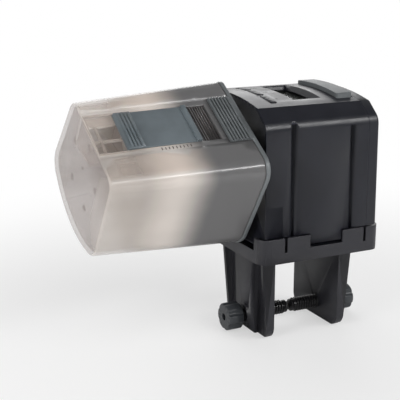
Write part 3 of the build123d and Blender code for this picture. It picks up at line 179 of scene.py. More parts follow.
class Bench:
    """Node tree of a material, or of the room, while it is being wired."""

    bevel_samples = 8
    edge_span = (0.01, 0.22)

    def __init__(self, owner: bpy.types.Material | bpy.types.World, coordinates: str = "Object") -> None:
        """Empty the tree.

        Args:
            owner: the material or world that the tree belongs to.
            coordinates: the coordinates that its patterns follow.
        """
        owner.use_nodes = True
        self.owner = owner
        self.tree = owner.node_tree
        self.tree.nodes.clear()
        self.place = self.node("ShaderNodeTexCoord", output=coordinates)

    def node(self, kind: str, settings: Mapping[str, object] | None = None,
             values: Mapping[str | int, object] | None = None, output: str | int = 0) -> Shade:
        """Add any node.

        Args:
            kind: the node's type.
            settings: properties, set before its sockets are.
            values: a number, colour, vector or Shade for each named or numbered socket.
            output: the output to return.

        Returns:
            That output, which holds no socket where the node has no outputs.
        """
        made = self.tree.nodes.new(kind)
        for name, setting in (settings or {}).items():
            setattr(made, name, setting)
        for key, value in (values or {}).items():
            if isinstance(value, Shade):
                self.tree.links.new(value.socket, made.inputs[key])
            else:
                made.inputs[key].default_value = value
        return Shade(self, made.outputs[output] if len(made.outputs) else None)

    def noise(self, size: float, detail: float = 2.0, stretch: Point = (1.0, 1.0, 1.0)) -> Shade:
        """Noise from 0 to 1 over the surface.

        Args:
            size: width of one blotch.
            detail: octaves of finer noise.
            stretch: how much longer the blotches are along each axis.

        Returns:
            The noise's value.
        """
        scale = tuple(1.0 / part for part in stretch)
        place = self.node("ShaderNodeMapping", values={"Vector": self.place, "Scale": scale})
        values = {"Vector": place, "Scale": 1.0 / size, "Detail": detail}
        return self.node("ShaderNodeTexNoise", values=values)

    def along(self, axis: str) -> Shade:
        """Place along the object's X, Y or Z."""
        return self.node("ShaderNodeSeparateXYZ", values={0: self.place}, output=axis)

    def dot(self, first: Shade, second: "Shade | Point") -> Shade:
        """Dot product of two directions."""
        settings = {"operation": "DOT_PRODUCT"}
        return self.node("ShaderNodeVectorMath", settings, {0: first, 1: second}, output="Value")

    def blend(self, mask: Shade, first: "Shade | Colour", second: "Shade | Colour") -> Shade:
        """Mix two colours.

        Args:
            mask: 0 for the first, 1 for the second.
            first: a colour.
            second: another colour.

        Returns:
            The mixed colour.
        """
        colours = {key: (*shade, 1.0) if isinstance(shade, tuple) else shade
                   for key, shade in ((6, first), (7, second))}
        return self.node("ShaderNodeMix", {"data_type": "RGBA"}, {0: mask, **colours}, output=2)

    def rounded(self, radius: float) -> tuple[Shade, Shade]:
        """Normal that rounds the edges, and a mask of where it does.

        Args:
            radius: radius of the rounding.

        Returns:
            The normal, and a mask that is 1 on the edges.
        """
        normal = self.node("ShaderNodeBevel", {"samples": self.bevel_samples}, {"Radius": radius})
        flat = self.node("ShaderNodeNewGeometry", output="Normal")
        return normal, (1.0 - self.dot(normal, flat)).ramp(*self.edge_span)

    def bump(self, height: Shade, depth: float, normal: Shade, strength: float = 1.0) -> Shade:
        """Normal disturbed by a height.

        Args:
            height: the height, from 0 to 1.
            depth: how far 1 stands above 0.
            normal: the normal to start from.
            strength: share of the effect that is kept.

        Returns:
            The new normal.
        """
        values = {"Height": height, "Distance": depth, "Strength": strength, "Normal": normal}
        return self.node("ShaderNodeBump", values=values)

    def close(self, **sockets: object) -> bpy.types.Material:
        """Wire the surface.

        Args:
            sockets: inputs of the Principled shader, with _ for each space.

        Returns:
            The finished material.
        """
        values = {key.replace("_", " "): value for key, value in sockets.items()}
        surface = self.node("ShaderNodeBsdfPrincipled", values=values)
        self.node("ShaderNodeOutputMaterial", values={"Surface": surface})
        return self.owner


@dataclass(frozen=True)
class Finish(ABC):
    """What a surface is made of."""

    name: str

    def bench(self) -> Bench:
        """Empty node tree of a new material."""
        return Bench(bpy.data.materials.new(self.name))

    @abstractmethod
    def material(self) -> bpy.types.Material:
        """Make the material."""


@dataclass(frozen=True)
class Moulded(Finish):
    """Opaque moulded plastic."""

    colour: Colour
    roughness: float = 0.45
    grain: Grain = Grain.SPARK
    edge: float = 0.35 * MM
    # How much lighter the edges are painted: partly wear, partly painted highlight.
    edge_wear_and_highlight: float = 1.5
    ior: float = 1.46
    cloud_size: float = 14 * MM
    mottle: float = 0.12
    wear_and_highlight_size: float = 2 * MM
    wear_and_highlight_span: Span = (0.25, 0.6)
    least_wear_and_highlight: float = 0.4
    smoother: float = 0.05
    rougher: float = 0.06
    grain_roughness: float = 0.05
    grain_share: float = 0.8

    def material(self) -> bpy.types.Material:
        """Colour that clouds a little, edges painted lighter as partly wear and partly painted highlight, and the
        mould's texture.

        Returns:
            The finished material.
        """
        bench = self.bench()
        depth, size = self.grain.value
        normal, edges = bench.rounded(self.edge)
        cloud = bench.noise(self.cloud_size, 3.0)
        texture = bench.noise(size, 1.0)
        # Edges painted lighter: partly wear, partly painted highlight where the edges catch the light.
        wear_and_highlight = edges * bench.noise(self.wear_and_highlight_size).ramp(*self.wear_and_highlight_span, self.least_wear_and_highlight, 1.0)
        base = bench.blend(cloud.ramp(*NOISE_MIDDLE), scaled(self.colour, 1.0 - self.mottle),
                           scaled(self.colour, 1.0 + self.mottle))
        base = bench.blend(wear_and_highlight, base, scaled(self.colour, self.edge_wear_and_highlight))
        dullness = cloud.ramp(*NOISE_MOST, self.roughness - self.smoother, self.roughness + self.rougher)
        return bench.close(Base_Color=base, Roughness=dullness + texture * self.grain_roughness,
                           IOR=self.ior, Normal=bench.bump(texture, depth, normal, self.grain_share))


@dataclass(frozen=True)
class Smoky(Finish):
    """Tinted see-through plastic, a little hazy, with painted shade on its edges that stands in for refraction."""

    colour: Colour
    # Colour of the painted shade on the edges.
    dark: Colour
    body: float
    roughness: float
    edge: float
    haze: float = 0.03
    haze_span: Span = (0.25, 0.75)
    haze_light: float = 1.1
    haze_depth: float = 0.12 * MM
    haze_share: float = 0.25
    cloud_size: float = 30 * MM
    cloud_stretch: Point = (2.5, 1.0, 1.0)
    smear_size: float = 12 * MM
    smear_stretch: Point = (3.0, 1.0, 1.0)
    smear_roughness: float = 0.08
    edge_painted_shade: float = 0.8
    edge_body: float = 0.45
    ior: float = 1.49

    def vary(self, bench: Bench, base: Shade, solid: Shade) -> tuple[Shade, Shade]:
        """Colour and solidity before the edges, which plain plastic leaves as they are."""
        return base, solid

    def material(self) -> bpy.types.Material:
        """Tinted surface with hazy clouds, smears in its gloss and painted shade on its edges.

        Returns:
            The finished material.
        """
        bench = self.bench()
        normal, edges = bench.rounded(self.edge)
        cloud = bench.noise(self.cloud_size, 2.0, self.cloud_stretch)
        smear = bench.noise(self.smear_size, 1.0, self.smear_stretch)
        base = bench.blend(cloud.ramp(*NOISE_MIDDLE), self.colour, scaled(self.colour, self.haze_light))
        solid = cloud.ramp(*self.haze_span, self.body - self.haze, self.body + self.haze)
        base, solid = self.vary(bench, base, solid)
        # Painted shade: edges are painted dark, standing in for the dark lines refraction makes at a see-through
        # wall's edges and where walls meet.
        base = bench.blend(edges * self.edge_painted_shade, base, self.dark)
        solid = solid + (1.0 - solid) * edges * self.edge_body
        roughness = smear.ramp(*NOISE_UPPER, self.roughness, self.roughness + self.smear_roughness)
        return bench.close(Base_Color=base, Roughness=roughness, Alpha=solid, IOR=self.ior,
                           Normal=bench.bump(cloud, self.haze_depth, normal, self.haze_share))


@dataclass(frozen=True)
class PaintedSide:
    """Side of a see-through piece that is clearer than the rest and painted its own tint, as painted light and
    shade by which way it faces.
    """

    outward: Point
    body: float
    painted_light_tint: Colour


@dataclass(frozen=True)
class FrostedDrum(Smoky):
    """Smoky plastic that is frosted towards the cap, with painted shade that darkens it towards the cap, and
    clearer on some sides, which get painted light and shade by which way they face.
    """

    painted_sides: tuple[PaintedSide, ...] = ()
    side_span: Span = (0.9, 0.99)
    # Painted shade: the colour the drum darkens to towards the cap, where the cap behind the frosted wall keeps
    # the light out.
    cap_shade: Colour = (0.16, 0.158, 0.16)
    cap_shade_span: Span = (-72 * MM, -53 * MM)
    frost_body: float = 0.86
    frost_span: Span = (-90 * MM, -72 * MM)
    wander_size: float = 25 * MM
    wander: float = 8 * MM

    def vary(self, bench: Bench, base: Shade, solid: Shade) -> tuple[Shade, Shade]:
        """Clearer sides with painted light and shade, then the frost and the painted shade that darkens the drum
        towards the cap.

        Args:
            bench: the tree being wired.
            base: colour so far.
            solid: solidity so far.

        Returns:
            The colour and the solidity.
        """
        facing = bench.node("ShaderNodeTexCoord", output="Normal")
        # Painted light and shade: each listed side takes its own tint and clearness by which way it faces.
        for side in self.painted_sides:
            toward = bench.dot(facing, side.outward).ramp(*self.side_span)
            base = bench.blend(toward, base, side.painted_light_tint)
            solid = solid - toward * (self.body - side.body)
        # Painted shade darkening the drum towards the cap.
        reach = bench.along("X") + bench.noise(self.wander_size) * self.wander
        base = bench.blend(reach.ramp(*self.cap_shade_span), base, self.cap_shade)
        solid = solid + (self.frost_body - solid) * reach.ramp(*self.frost_span)
        return base, solid


@dataclass(frozen=True)
class Plated(Finish):
    """Plated or drawn metal."""

    colour: Colour
    roughness: float
    edge: float = 0.2 * MM
    streak_size: float = 0.25 * MM
    streak_stretch: Point = (1.0, 1.0, 12.0)
    streak_depth: float = 0.01 * MM
    streak_share: float = 0.5
    streak_roughness: float = 0.15
    spot_size: float = 3 * MM
    spot_span: Span = (0.45, 0.75)
    spot_dark: float = 0.75
    edge_gloss: float = 0.05

    def material(self) -> bpy.types.Material:
        """Metal with fine streaks and small dull spots.

        Returns:
            The finished material.
        """
        bench = self.bench()
        normal, edges = bench.rounded(self.edge)
        streaks = bench.noise(self.streak_size, 2.0, self.streak_stretch)
        spots = bench.noise(self.spot_size, 3.0)
        base = bench.blend(spots.ramp(*self.spot_span), self.colour, scaled(self.colour, self.spot_dark))
        roughness = streaks.ramp(*NOISE_MOST, self.roughness, self.roughness + self.streak_roughness)
        return bench.close(Base_Color=base, Metallic=1.0, Roughness=roughness - edges * self.edge_gloss,
                           Normal=bench.bump(streaks, self.streak_depth, normal, self.streak_share))


@dataclass(frozen=True)
class Sleeve(Finish):
    """Shrink sleeve of a cell: dark, with a coloured band at the end with the nub."""

    wrap: Colour
    band: Colour
    nub_side: int
    bare: Colour = (0.62, 0.62, 0.6)
    band_start: float = 12 * MM
    sleeve_end: float = 24.6 * MM
    edge: float = 0.25 * MM
    crease_size: float = 5 * MM
    crease_stretch: Point = (1.0, 4.0, 1.0)
    crease_depth: float = 0.05 * MM
    crease_share: float = 0.5
    gloss: Span = (0.16, 0.3)

    def material(self) -> bpy.types.Material:
        """Glossy sleeve with its band, and bare metal at both ends.

        Returns:
            The finished material.
        """
        bench = self.bench()
        normal, _ = bench.rounded(self.edge)
        across = bench.along("Y") * self.nub_side
        metal = abs(across) > self.sleeve_end
        creases = bench.noise(self.crease_size, 3.0, self.crease_stretch)
        base = bench.blend(across > self.band_start, self.wrap, self.band)
        base = bench.blend(metal, base, self.bare)
        return bench.close(Base_Color=base, Metallic=metal,
                           Roughness=creases.ramp(*NOISE_UPPER, *self.gloss),
                           Normal=bench.bump(creases, self.crease_depth, normal, self.crease_share))


@dataclass(frozen=True)
class Laminate(Finish):
    """Circuit board: solder mask over faint copper tracks."""

    mask: Colour
    track: Colour
    bare_edge: Colour = (0.35, 0.33, 0.2)
    edge: float = 0.15 * MM
    spacing: float = 2.2 * MM
    unevenness: float = 0.35
    track_span: Span = (0.42, 0.5)
    track_height: float = 0.03 * MM
    gloss: Span = (0.25, 0.35)

    def material(self) -> bpy.types.Material:
        """Glossy mask with tracks that show through.

        Returns:
            The finished material.
        """
        bench = self.bench()
        normal, edges = bench.rounded(self.edge)
        layout = {"Scale": 1 / self.spacing, "Randomness": self.unevenness, "Vector": bench.place}
        cells = bench.node("ShaderNodeTexVoronoi", {"feature": "F1", "distance": "MANHATTAN"}, layout)
        tracks = cells.ramp(*self.track_span)
        base = bench.blend(edges, bench.blend(tracks, self.mask, self.track), self.bare_edge)
        return bench.close(Base_Color=base, Roughness=tracks.ramp(0.0, 1.0, *self.gloss),
                           Normal=bench.bump(tracks, self.track_height, normal))


@dataclass(frozen=True)
class LiquidCrystal(Finish):
    """Display glass: olive, with a faint ruling of cells."""

    colour: Colour
    line: Colour = (0.01, 0.01, 0.01)
    edge: float = 0.2 * MM
    cell: float = 0.45 * MM
    line_start: float = 0.9
    line_share: float = 0.3
    edge_share: float = 0.5
    cloud_size: float = 8 * MM
    cloud_light: float = 1.25
    gloss: Span = (0.12, 0.2)

    def material(self) -> bpy.types.Material:
        """Dark olive with faint lines between its cells.

        Returns:
            The finished material.
        """
        bench = self.bench()
        normal, edges = bench.rounded(self.edge)
        wave = bench.along("X").pingpong(self.cell)
        lines = (wave > self.cell * self.line_start) * self.line_share + edges * self.edge_share
        cloud = bench.noise(self.cloud_size)
        base = bench.blend(cloud.ramp(*NOISE_MIDDLE), self.colour, scaled(self.colour, self.cloud_light))
        return bench.close(Base_Color=bench.blend(lines, base, self.line), Normal=normal,
                           Roughness=cloud.ramp(*NOISE_MIDDLE, *self.gloss))


# ---------------------------------------------------------------- geometry node trees
class Tree:
    """A geometry node tree with named sizes, whose result is a plain mesh."""

    def __init__(self, name: str) -> None:
        """Start a tree.

        Args:
            name: the tree's name.
        """
        self.group = bpy.data.node_groups.new(name, "GeometryNodeTree")
        self.group.interface.new_socket("Geometry", in_out="OUTPUT", socket_type="NodeSocketGeometry")
        self.source = self.group.nodes.new("NodeGroupInput")
        self.identifiers: dict[str, str] = {}

    def size(self, name: str, kind: str = "Float") -> bpy.types.NodeSocket:
        """Add a named input.

        Args:
            name: what the size is called.
            kind: Float or Int.

        Returns:
            The socket that carries it.
        """
        item = self.group.interface.new_socket(name, in_out="INPUT", socket_type=f"NodeSocket{kind}")
        self.identifiers[name] = item.identifier
        return self.source.outputs[name]

    def node(self, kind: str, settings: Mapping[str, object] | None = None,
             values: Mapping[str | int, object] | None = None,
             output: str | int = 0) -> bpy.types.NodeSocket:
        """Add any node.

        Args:
            kind: the node's type.
            settings: properties, set before its sockets are.
            values: a value, a socket or a list of sockets for each input.
            output: the output to return.

        Returns:
            That output.
        """
        made = self.group.nodes.new(kind)
        for name, setting in (settings or {}).items():
            setattr(made, name, setting)
        for key, value in (values or {}).items():
            links = value if isinstance(value, list) else [value]
            for link in links:
                if isinstance(link, bpy.types.NodeSocket):
                    self.group.links.new(link, made.inputs[key])
                else:
                    made.inputs[key].default_value = link
        return made.outputs[output]

    def end(self, geometry: bpy.types.NodeSocket, material: bpy.types.Material) -> None:
        """Realize the instances, set their material and close the tree.

        Args:
            geometry: what the tree made.
            material: its material.
        """
        real = self.node("GeometryNodeRealizeInstances", values={0: geometry})
        dressed = self.node("GeometryNodeSetMaterial", values={"Geometry": real, "Material": material})
        last = self.group.nodes.new("NodeGroupOutput")
        self.group.links.new(dressed, last.inputs[0])

    def mesh(self, sizes: Mapping[str, float]) -> bpy.types.Mesh:
        """Run the tree.

        Args:
            sizes: a value for each named input.

        Returns:
            The result as a plain mesh.
        """
        holder = bpy.data.objects.new("holder", bpy.data.meshes.new("holder"))
        bpy.context.scene.collection.objects.link(holder)
        modifier = holder.modifiers.new("tree", "NODES")
        modifier.node_group = self.group
        for name, value in sizes.items():
            modifier[self.identifiers[name]] = value
        graph = bpy.context.evaluated_depsgraph_get()
        mesh = bpy.data.meshes.new_from_object(holder.evaluated_get(graph))
        holder.modifiers.remove(modifier)
        bpy.data.objects.remove(holder)
        return mesh


def thread_tree(material: bpy.types.Material) -> Tree:
    """Threaded rod along +X from the origin.

    Args:
        material: the rod's material.

    Returns:
        A tree with the inputs Length, Core, Crest, Pitch and Plain.
    """
    tree = Tree("threaded_rod")
    names = ("Length", "Core", "Crest", "Pitch", "Plain")
    length, core, crest, pitch, plain = (tree.size(name) for name in names)

    def sums(operation: str, first: object, second: object) -> bpy.types.NodeSocket:
        """One Math node on two values."""
        return tree.node("ShaderNodeMath", {"operation": operation}, {0: first, 1: second})

    ridge = sums("MULTIPLY", sums("SUBTRACT", crest, core), RIDGE_SHARE)
    middle = sums("SUBTRACT", crest, ridge)
    height = sums("SUBTRACT", sums("SUBTRACT", length, plain), sums("MULTIPLY", ridge, 2.0))
    spiral = tree.node("GeometryNodeCurveSpiral", values={
        "Resolution": TURN_STEPS, "Rotations": sums("DIVIDE", height, pitch), "Start Radius": middle,
        "End Radius": middle, "Height": height, "Reverse": False})
    upright = tree.node("GeometryNodeSetCurveNormal", {"mode": "Z_UP"}, {"Curve": spiral})
    profile = tree.node("GeometryNodeCurvePrimitiveCircle", values={"Resolution": RIDGE_SIDES,
                                                                    "Radius": ridge})
    helix = tree.node("GeometryNodeCurveToMesh", values={"Curve": upright, "Profile Curve": profile,
                                                         "Fill Caps": True})
    lift = tree.node("ShaderNodeCombineXYZ", values={"Z": sums("ADD", plain, ridge)})
    helix = tree.node("GeometryNodeTransform", values={"Geometry": helix, "Translation": lift})
    rod = tree.node("GeometryNodeMeshCylinder", values={"Vertices": ROD_SIDES, "Radius": core,
                                                     "Depth": length})
    half = tree.node("ShaderNodeCombineXYZ", values={"Z": sums("MULTIPLY", length, 0.5)})
    rod = tree.node("GeometryNodeTransform", values={"Geometry": rod, "Translation": half})
    both = tree.node("GeometryNodeJoinGeometry", values={0: [helix, rod]})
    lying = tree.node("GeometryNodeTransform", values={"Geometry": both, "Rotation": (0, QUARTER_TURN, 0)})
    tree.end(lying, material)
    return tree


def row_tree(material: bpy.types.Material) -> Tree:
    """Row of bars along X, from the origin on, flat on the XY plane.

    Args:
        material: the bars' material.

    Returns:
        A tree with the inputs Count, Pitch, Width, Length and Height.
    """
    tree = Tree("row_of_bars")
    count = tree.size("Count", "Int")
    pitch, width, length, height = (tree.size(name) for name in ("Pitch", "Width", "Length", "Height"))
    step = tree.node("ShaderNodeCombineXYZ", values={"X": pitch})
    line = tree.node("GeometryNodeMeshLine", {"mode": "OFFSET"}, {"Count": count, "Offset": step})
    bar = tree.node("GeometryNodeMeshCube", values={
        "Size": tree.node("ShaderNodeCombineXYZ", values={"X": width, "Y": length, "Z": height})})
    tree.end(tree.node("GeometryNodeInstanceOnPoints", values={"Points": line, "Instance": bar}), material)
    return tree


def ring_tree(material: bpy.types.Material) -> Tree:
    """Ring of small discs in the YZ plane about the origin.

    Args:
        material: the discs' material.

    Returns:
        A tree with the inputs Count, Ring, Radius and Height.
    """
    tree = Tree("ring_of_discs")
    count = tree.size("Count", "Int")
    ring, radius, height = (tree.size(name) for name in ("Ring", "Radius", "Height"))
    points = tree.node("GeometryNodeMeshCircle", values={"Vertices": count, "Radius": ring})
    disc = tree.node("GeometryNodeMeshCylinder", values={"Vertices": DISC_SIDES, "Radius": radius,
                                                         "Depth": height})
    discs = tree.node("GeometryNodeInstanceOnPoints", values={"Points": points, "Instance": disc})
    turned = tree.node("GeometryNodeTransform", values={"Geometry": discs,
                                                        "Rotation": (0, QUARTER_TURN, 0)})
    tree.end(turned, material)
    return tree


# ---------------------------------------------------------------- placing pieces
def body_of(node: str) -> str:
    """Name of the body that holds a node."""
    bodies = frame["record"]["behaviour"]["bodies"]
    return next(body for body, members in bodies.items() if node in members)


def slot_of(node: str) -> str:
    """Name of a node's material slot."""
    return next(part["material_slot"] for part in frame["record"]["subparts"] if part["node"] == node)


def joint(name: str) -> Mapping[str, object]:
    """Facts of a packed joint."""
    return next(facts for facts in frame["joints"] if facts["name"] == name)


def smooth(mesh: bpy.types.Mesh, angle: float = SHARP_ANGLE) -> None:
    """Shade a mesh smooth, except across edges sharper than an angle."""
    mesh.shade_smooth()
    mesh.set_sharp_from_angle(angle=math.radians(angle))


def place(name: str, mesh: bpy.types.Mesh, node: str) -> bpy.types.Object:
    """Put a finished mesh in the scene, on the body of the node that carries it.

    Args:
        name: the piece's name.
        mesh: its mesh, already in its place.
        node: the node that carries it.

    Returns:
        The new object.
    """
    piece = bpy.data.objects.new(name, mesh)
    bpy.context.scene.collection.objects.link(piece)
    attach(piece, body_of(node))
    slot_of(node)
    LOG.info("%s: %d faces on %s", name, len(mesh.polygons), body_of(node))
    return piece


def dress(node: str, material: bpy.types.Material) -> None:
    """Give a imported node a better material."""
    for slot in frame["nodes"][node].material_slots:
        slot.material = material


def skin(node: str, material: bpy.types.Material) -> bpy.types.Object:
    """Stand a merged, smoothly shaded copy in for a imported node.

    Args:
        node: the node to copy.
        material: the copy's material.

    Returns:
        The copy.
    """
    mesh = frame["nodes"][node].data.copy()
    form = bmesh.new()
    form.from_mesh(mesh)
    bmesh.ops.remove_doubles(form, verts=form.verts, dist=MERGE_GAP)
    form.to_mesh(mesh)
    form.free()
    mesh.materials.clear()
    mesh.materials.append(material)
    smooth(mesh)
    piece = place(f"{node}_skin", mesh, node)
    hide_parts(node)
    return piece


def seat(node: str, start: Vector, direction: Vector) -> tuple[Vector, Vector]:
    """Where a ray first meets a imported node.

    Args:
        node: the node's name.
        start: a point outside it.
        direction: the way to go.

    Returns:
        The point on the surface, and the surface's normal there.
    """
    form = frame["nodes"][node].data
    tree = BVHTree.FromPolygons([v.co for v in form.vertices], [p.vertices for p in form.polygons])
    return tree.ray_cast(start, direction)[:2]


def perch(node: str, across: float, along: float) -> Matrix:
    """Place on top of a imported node.

    Args:
        node: the node's name.
        across: the place's X.
        along: the place's Y.

    Returns:
        A matrix whose origin is on the surface and whose Z stands up from it.
    """
    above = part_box(node)[1].z + PERCH_DROP
    foot, up = seat(node, Vector((across, along, above)), Vector((0, 0, -1)))
    side = up.cross(Vector((1, 0, 0))).normalized()
    turn = Matrix((side.cross(up), side, up)).transposed().to_4x4()
    return Matrix.Translation(foot) @ turn


# ---------------------------------------------------------------- sub-assemblies
@dataclass(frozen=True)
class SoftBox:
    """Rectangular soft light."""

    name: str
    spot: Point
    width: float
    height: float
    power: float

    def hang(self, aim: Point) -> None:
        """Hang the light in the scene.

        Args:
            aim: the place that it shines at.
        """
        light = bpy.data.lights.new(self.name, "AREA")
        light.shape = "RECTANGLE"
        light.size = self.width
        light.size_y = self.height
        light.energy = self.power
        lamp = bpy.data.objects.new(self.name, light)
        lamp.location = self.spot
        lamp.rotation_euler = (Vector(aim) - Vector(self.spot)).to_track_quat("-Z", "Y").to_euler()
        bpy.context.scene.collection.objects.link(lamp)


@dataclass
class Studio:
    """Pale floor, white room, soft lights and the camera."""

    floor_gap: float = 0.2 * MM
    floor_size: float = 12.0
    floor_dark: Colour = (0.86, 0.86, 0.86)
    floor_light: Colour = (0.9, 0.9, 0.9)
    floor_roughness: float = 0.9
    floor_cloud: float = 0.4
    floor_fade: Span = (0.07, 0.34)
    floor_glow: Span = (0.5, 1.0)
    room_front: float = 0.09
    room_back: float = 0.44
    room_bright_side: Point = (0.1, 0.98, 0.1)
    room_span: Span = (-0.1, 0.75)
    boxes: tuple[SoftBox, ...] = (
        SoftBox("back", (0.15, 0.75, 0.42), 0.9, 0.35, 2.7),
        SoftBox("left", (-0.85, -0.25, 0.22), 0.45, 0.5, 3.6),
        SoftBox("strip", (0.34, -0.64, 0.46), 0.9, 0.08, 5.2),
        SoftBox("front", (-0.25, -0.95, 0.30), 0.5, 0.5, 0.8),
    )
    aim: Point = (0.0, 0.0, 0.03)
    eye: Point = (-0.23697, -0.38782, 0.13769)
    elevation: float = 14.5
    azimuth: float = -26.0
    lens: float = 85.0
    nearest: float = 0.01
    farthest: float = 50.0

    def build(self) -> None:
        """Set up everything that isn't the object."""
        self.lay_floor()
        self.light_room()
        for box in self.boxes:
            box.hang(self.aim)
        self.set_camera()

    def lay_floor(self) -> None:
        """Wide pale floor just under the bracket's legs."""
        mesh = bpy.data.meshes.new("floor")
        reach = self.floor_size / 2
        level = CAD_BOX[0].z - self.floor_gap
        corners = [(-reach, -reach, level), (reach, -reach, level),
                   (reach, reach, level), (-reach, reach, level)]
        mesh.from_pydata(corners, [], [(0, 1, 2, 3)])
        mesh.materials.append(self.paint_floor())
        floor = bpy.data.objects.new("floor", mesh)
        bpy.context.scene.collection.objects.link(floor)

    def paint_floor(self) -> bpy.types.Material:
        """Matte white that turns into the room's white away from the object.

        Returns:
            The finished material.
        """
        bench = Bench(bpy.data.materials.new("pale_floor"))
        base = bench.blend(bench.noise(self.floor_cloud, 2.0), self.floor_dark, self.floor_light)
        paint = bench.node("ShaderNodeBsdfPrincipled",
                           values={"Base Color": base, "Roughness": self.floor_roughness})
        white = bench.node("ShaderNodeEmission", values={"Color": WHITE, "Strength": 1.0})
        reach = bench.node("ShaderNodeVectorMath", {"operation": "LENGTH"}, {0: bench.place},
                           output="Value")
        seen = bench.node("ShaderNodeLightPath", output="Is Camera Ray")
        share = seen * reach.ramp(*self.floor_fade, *self.floor_glow)
        mixed = bench.node("ShaderNodeMixShader", values={0: share, 1: paint, 2: white})
        bench.node("ShaderNodeOutputMaterial", values={"Surface": mixed})
        return bench.owner

    def light_room(self) -> None:
        """White room that lights the object more from behind and above than from in front."""
        world = bpy.data.worlds.new("room")
        bpy.context.scene.world = world
        bench = Bench(world, "Generated")
        toward = bench.dot(bench.place, self.room_bright_side)
        level = toward.ramp(*self.room_span, self.room_front, self.room_back)
        seen = bench.node("ShaderNodeLightPath", output="Is Camera Ray")
        room = bench.node("ShaderNodeBackground", values={"Color": WHITE, "Strength": level.larger(seen)})
        bench.node("ShaderNodeOutputWorld", values={"Surface": room})

    def set_camera(self) -> None:
        """Camera at the viewing angle."""
        data = bpy.data.cameras.new("camera")
        data.lens = self.lens
        data.clip_start = self.nearest
        data.clip_end = self.farthest
        camera = bpy.data.objects.new("camera", data)
        camera.location = self.eye
        camera.rotation_euler = (math.radians(90 - self.elevation), 0, math.radians(self.azimuth))
        bpy.context.scene.collection.objects.link(camera)
        scene = bpy.context.scene
        scene.camera = camera
        scene.view_settings.view_transform = "Standard"


@dataclass
class DriveHousing:
    """Shell, battery cover, latch, buttons and the marks beside them."""

    shell: Moulded = Moulded("charcoal_shell", (0.0105, 0.0112, 0.0165), 0.33, edge_wear_and_highlight=2.6)
    key: Moulded = Moulded("charcoal_key", (0.024, 0.025, 0.030), 0.40)
    bar: Moulded = Moulded("grey_latch", (0.115, 0.125, 0.130), 0.42)
    mark: Moulded = Moulded("pad_print", (0.010, 0.010, 0.011), 0.55, Grain.SATIN)
    mark_height: float = 0.05 * MM
    mark_pitch: float = 1.3 * MM
    mark_width: float = 0.45 * MM
    mark_length: float = 1.5 * MM
    mark_gap: float = 2.0 * MM

    def build(self) -> None:
        """Dress the shell and print the marks."""
        shell = self.shell.material()
        for node in ("housing", "battery_cover", "base_plate"):
            skin(node, shell)
        skin("cover_latch", self.bar.material())
        key = self.key.material()
        keys = ("mode_button", "set_button", "feed_button")
        for node in keys:
            skin(node, key)
        bars = row_tree(self.mark.material())
        for count, node in enumerate(keys, start=1):
            self.print_mark(bars, node, count)

    def print_mark(self, bars: Tree, node: str, count: int) -> None:
        """Print one, two or three short bars beside a button.

        Args:
            bars: tree that makes a row of bars.
            node: the button.
            count: how many bars.
        """
        low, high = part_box(node)
        foot = perch("housing", high.x + self.mark_gap, (low.y + high.y) / 2)
        mesh = bars.mesh({"Count": count, "Pitch": self.mark_pitch, "Width": self.mark_width,
                          "Length": self.mark_length, "Height": self.mark_height})
        mesh.transform(foot)
        place(f"{node}_mark", mesh, "housing")


@dataclass
class RimClamp:
    """Bracket, knobs, threaded rods and pressure tips."""

    bracket: Moulded = Moulded("black_bracket", (0.021, 0.021, 0.026), 0.36, edge_wear_and_highlight=2.2)
    knob: Moulded = Moulded("slate_knob", (0.040, 0.044, 0.049), 0.34, Grain.SATIN)
    rod: Moulded = Moulded("black_rod", (0.012, 0.012, 0.013), 0.30, Grain.SATIN, 0.12 * MM)
    thread_depth: float = 0.62 * MM
    pitch: float = 1.5 * MM
    plain: float = 4.0 * MM
    thread_angle: float = 35.0

    def build(self) -> None:
        """Dress the bracket and knobs, and cut the threads."""
        skin("clamp_bracket", self.bracket.material())
        knob = self.knob.material()
        rod = self.rod.material()
        threads = thread_tree(rod)
        for side, turn in (("left", 0.0), ("right", math.pi)):
            skin(f"{side}_clamp_knob", knob)
            skin(f"{side}_pressure_tip", rod)
            self.cut_thread(threads, f"{side}_clamp_screw", turn)

    def cut_thread(self, threads: Tree, node: str, turn: float) -> None:
        """Stand a threaded rod in for a plain one.

        Args:
            threads: tree that makes a threaded rod.
            node: the plain rod.
            turn: half a turn for the rod whose knob is on the right.
        """
        low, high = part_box(node)
        crest = (high.z - low.z) / 2
        mesh = threads.mesh({"Length": high.x - low.x, "Core": crest - self.thread_depth, "Crest": crest,
                             "Pitch": self.pitch, "Plain": self.plain})
        knob_end = high.x if turn else low.x
        spot = Vector((knob_end, 0, (low.z + high.z) / 2))
        mesh.transform(Matrix.Translation(spot) @ Matrix.Rotation(turn, 4, "Z"))
        smooth(mesh, self.thread_angle)
        piece = place(f"{node}_thread", mesh, node)
        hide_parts(node)


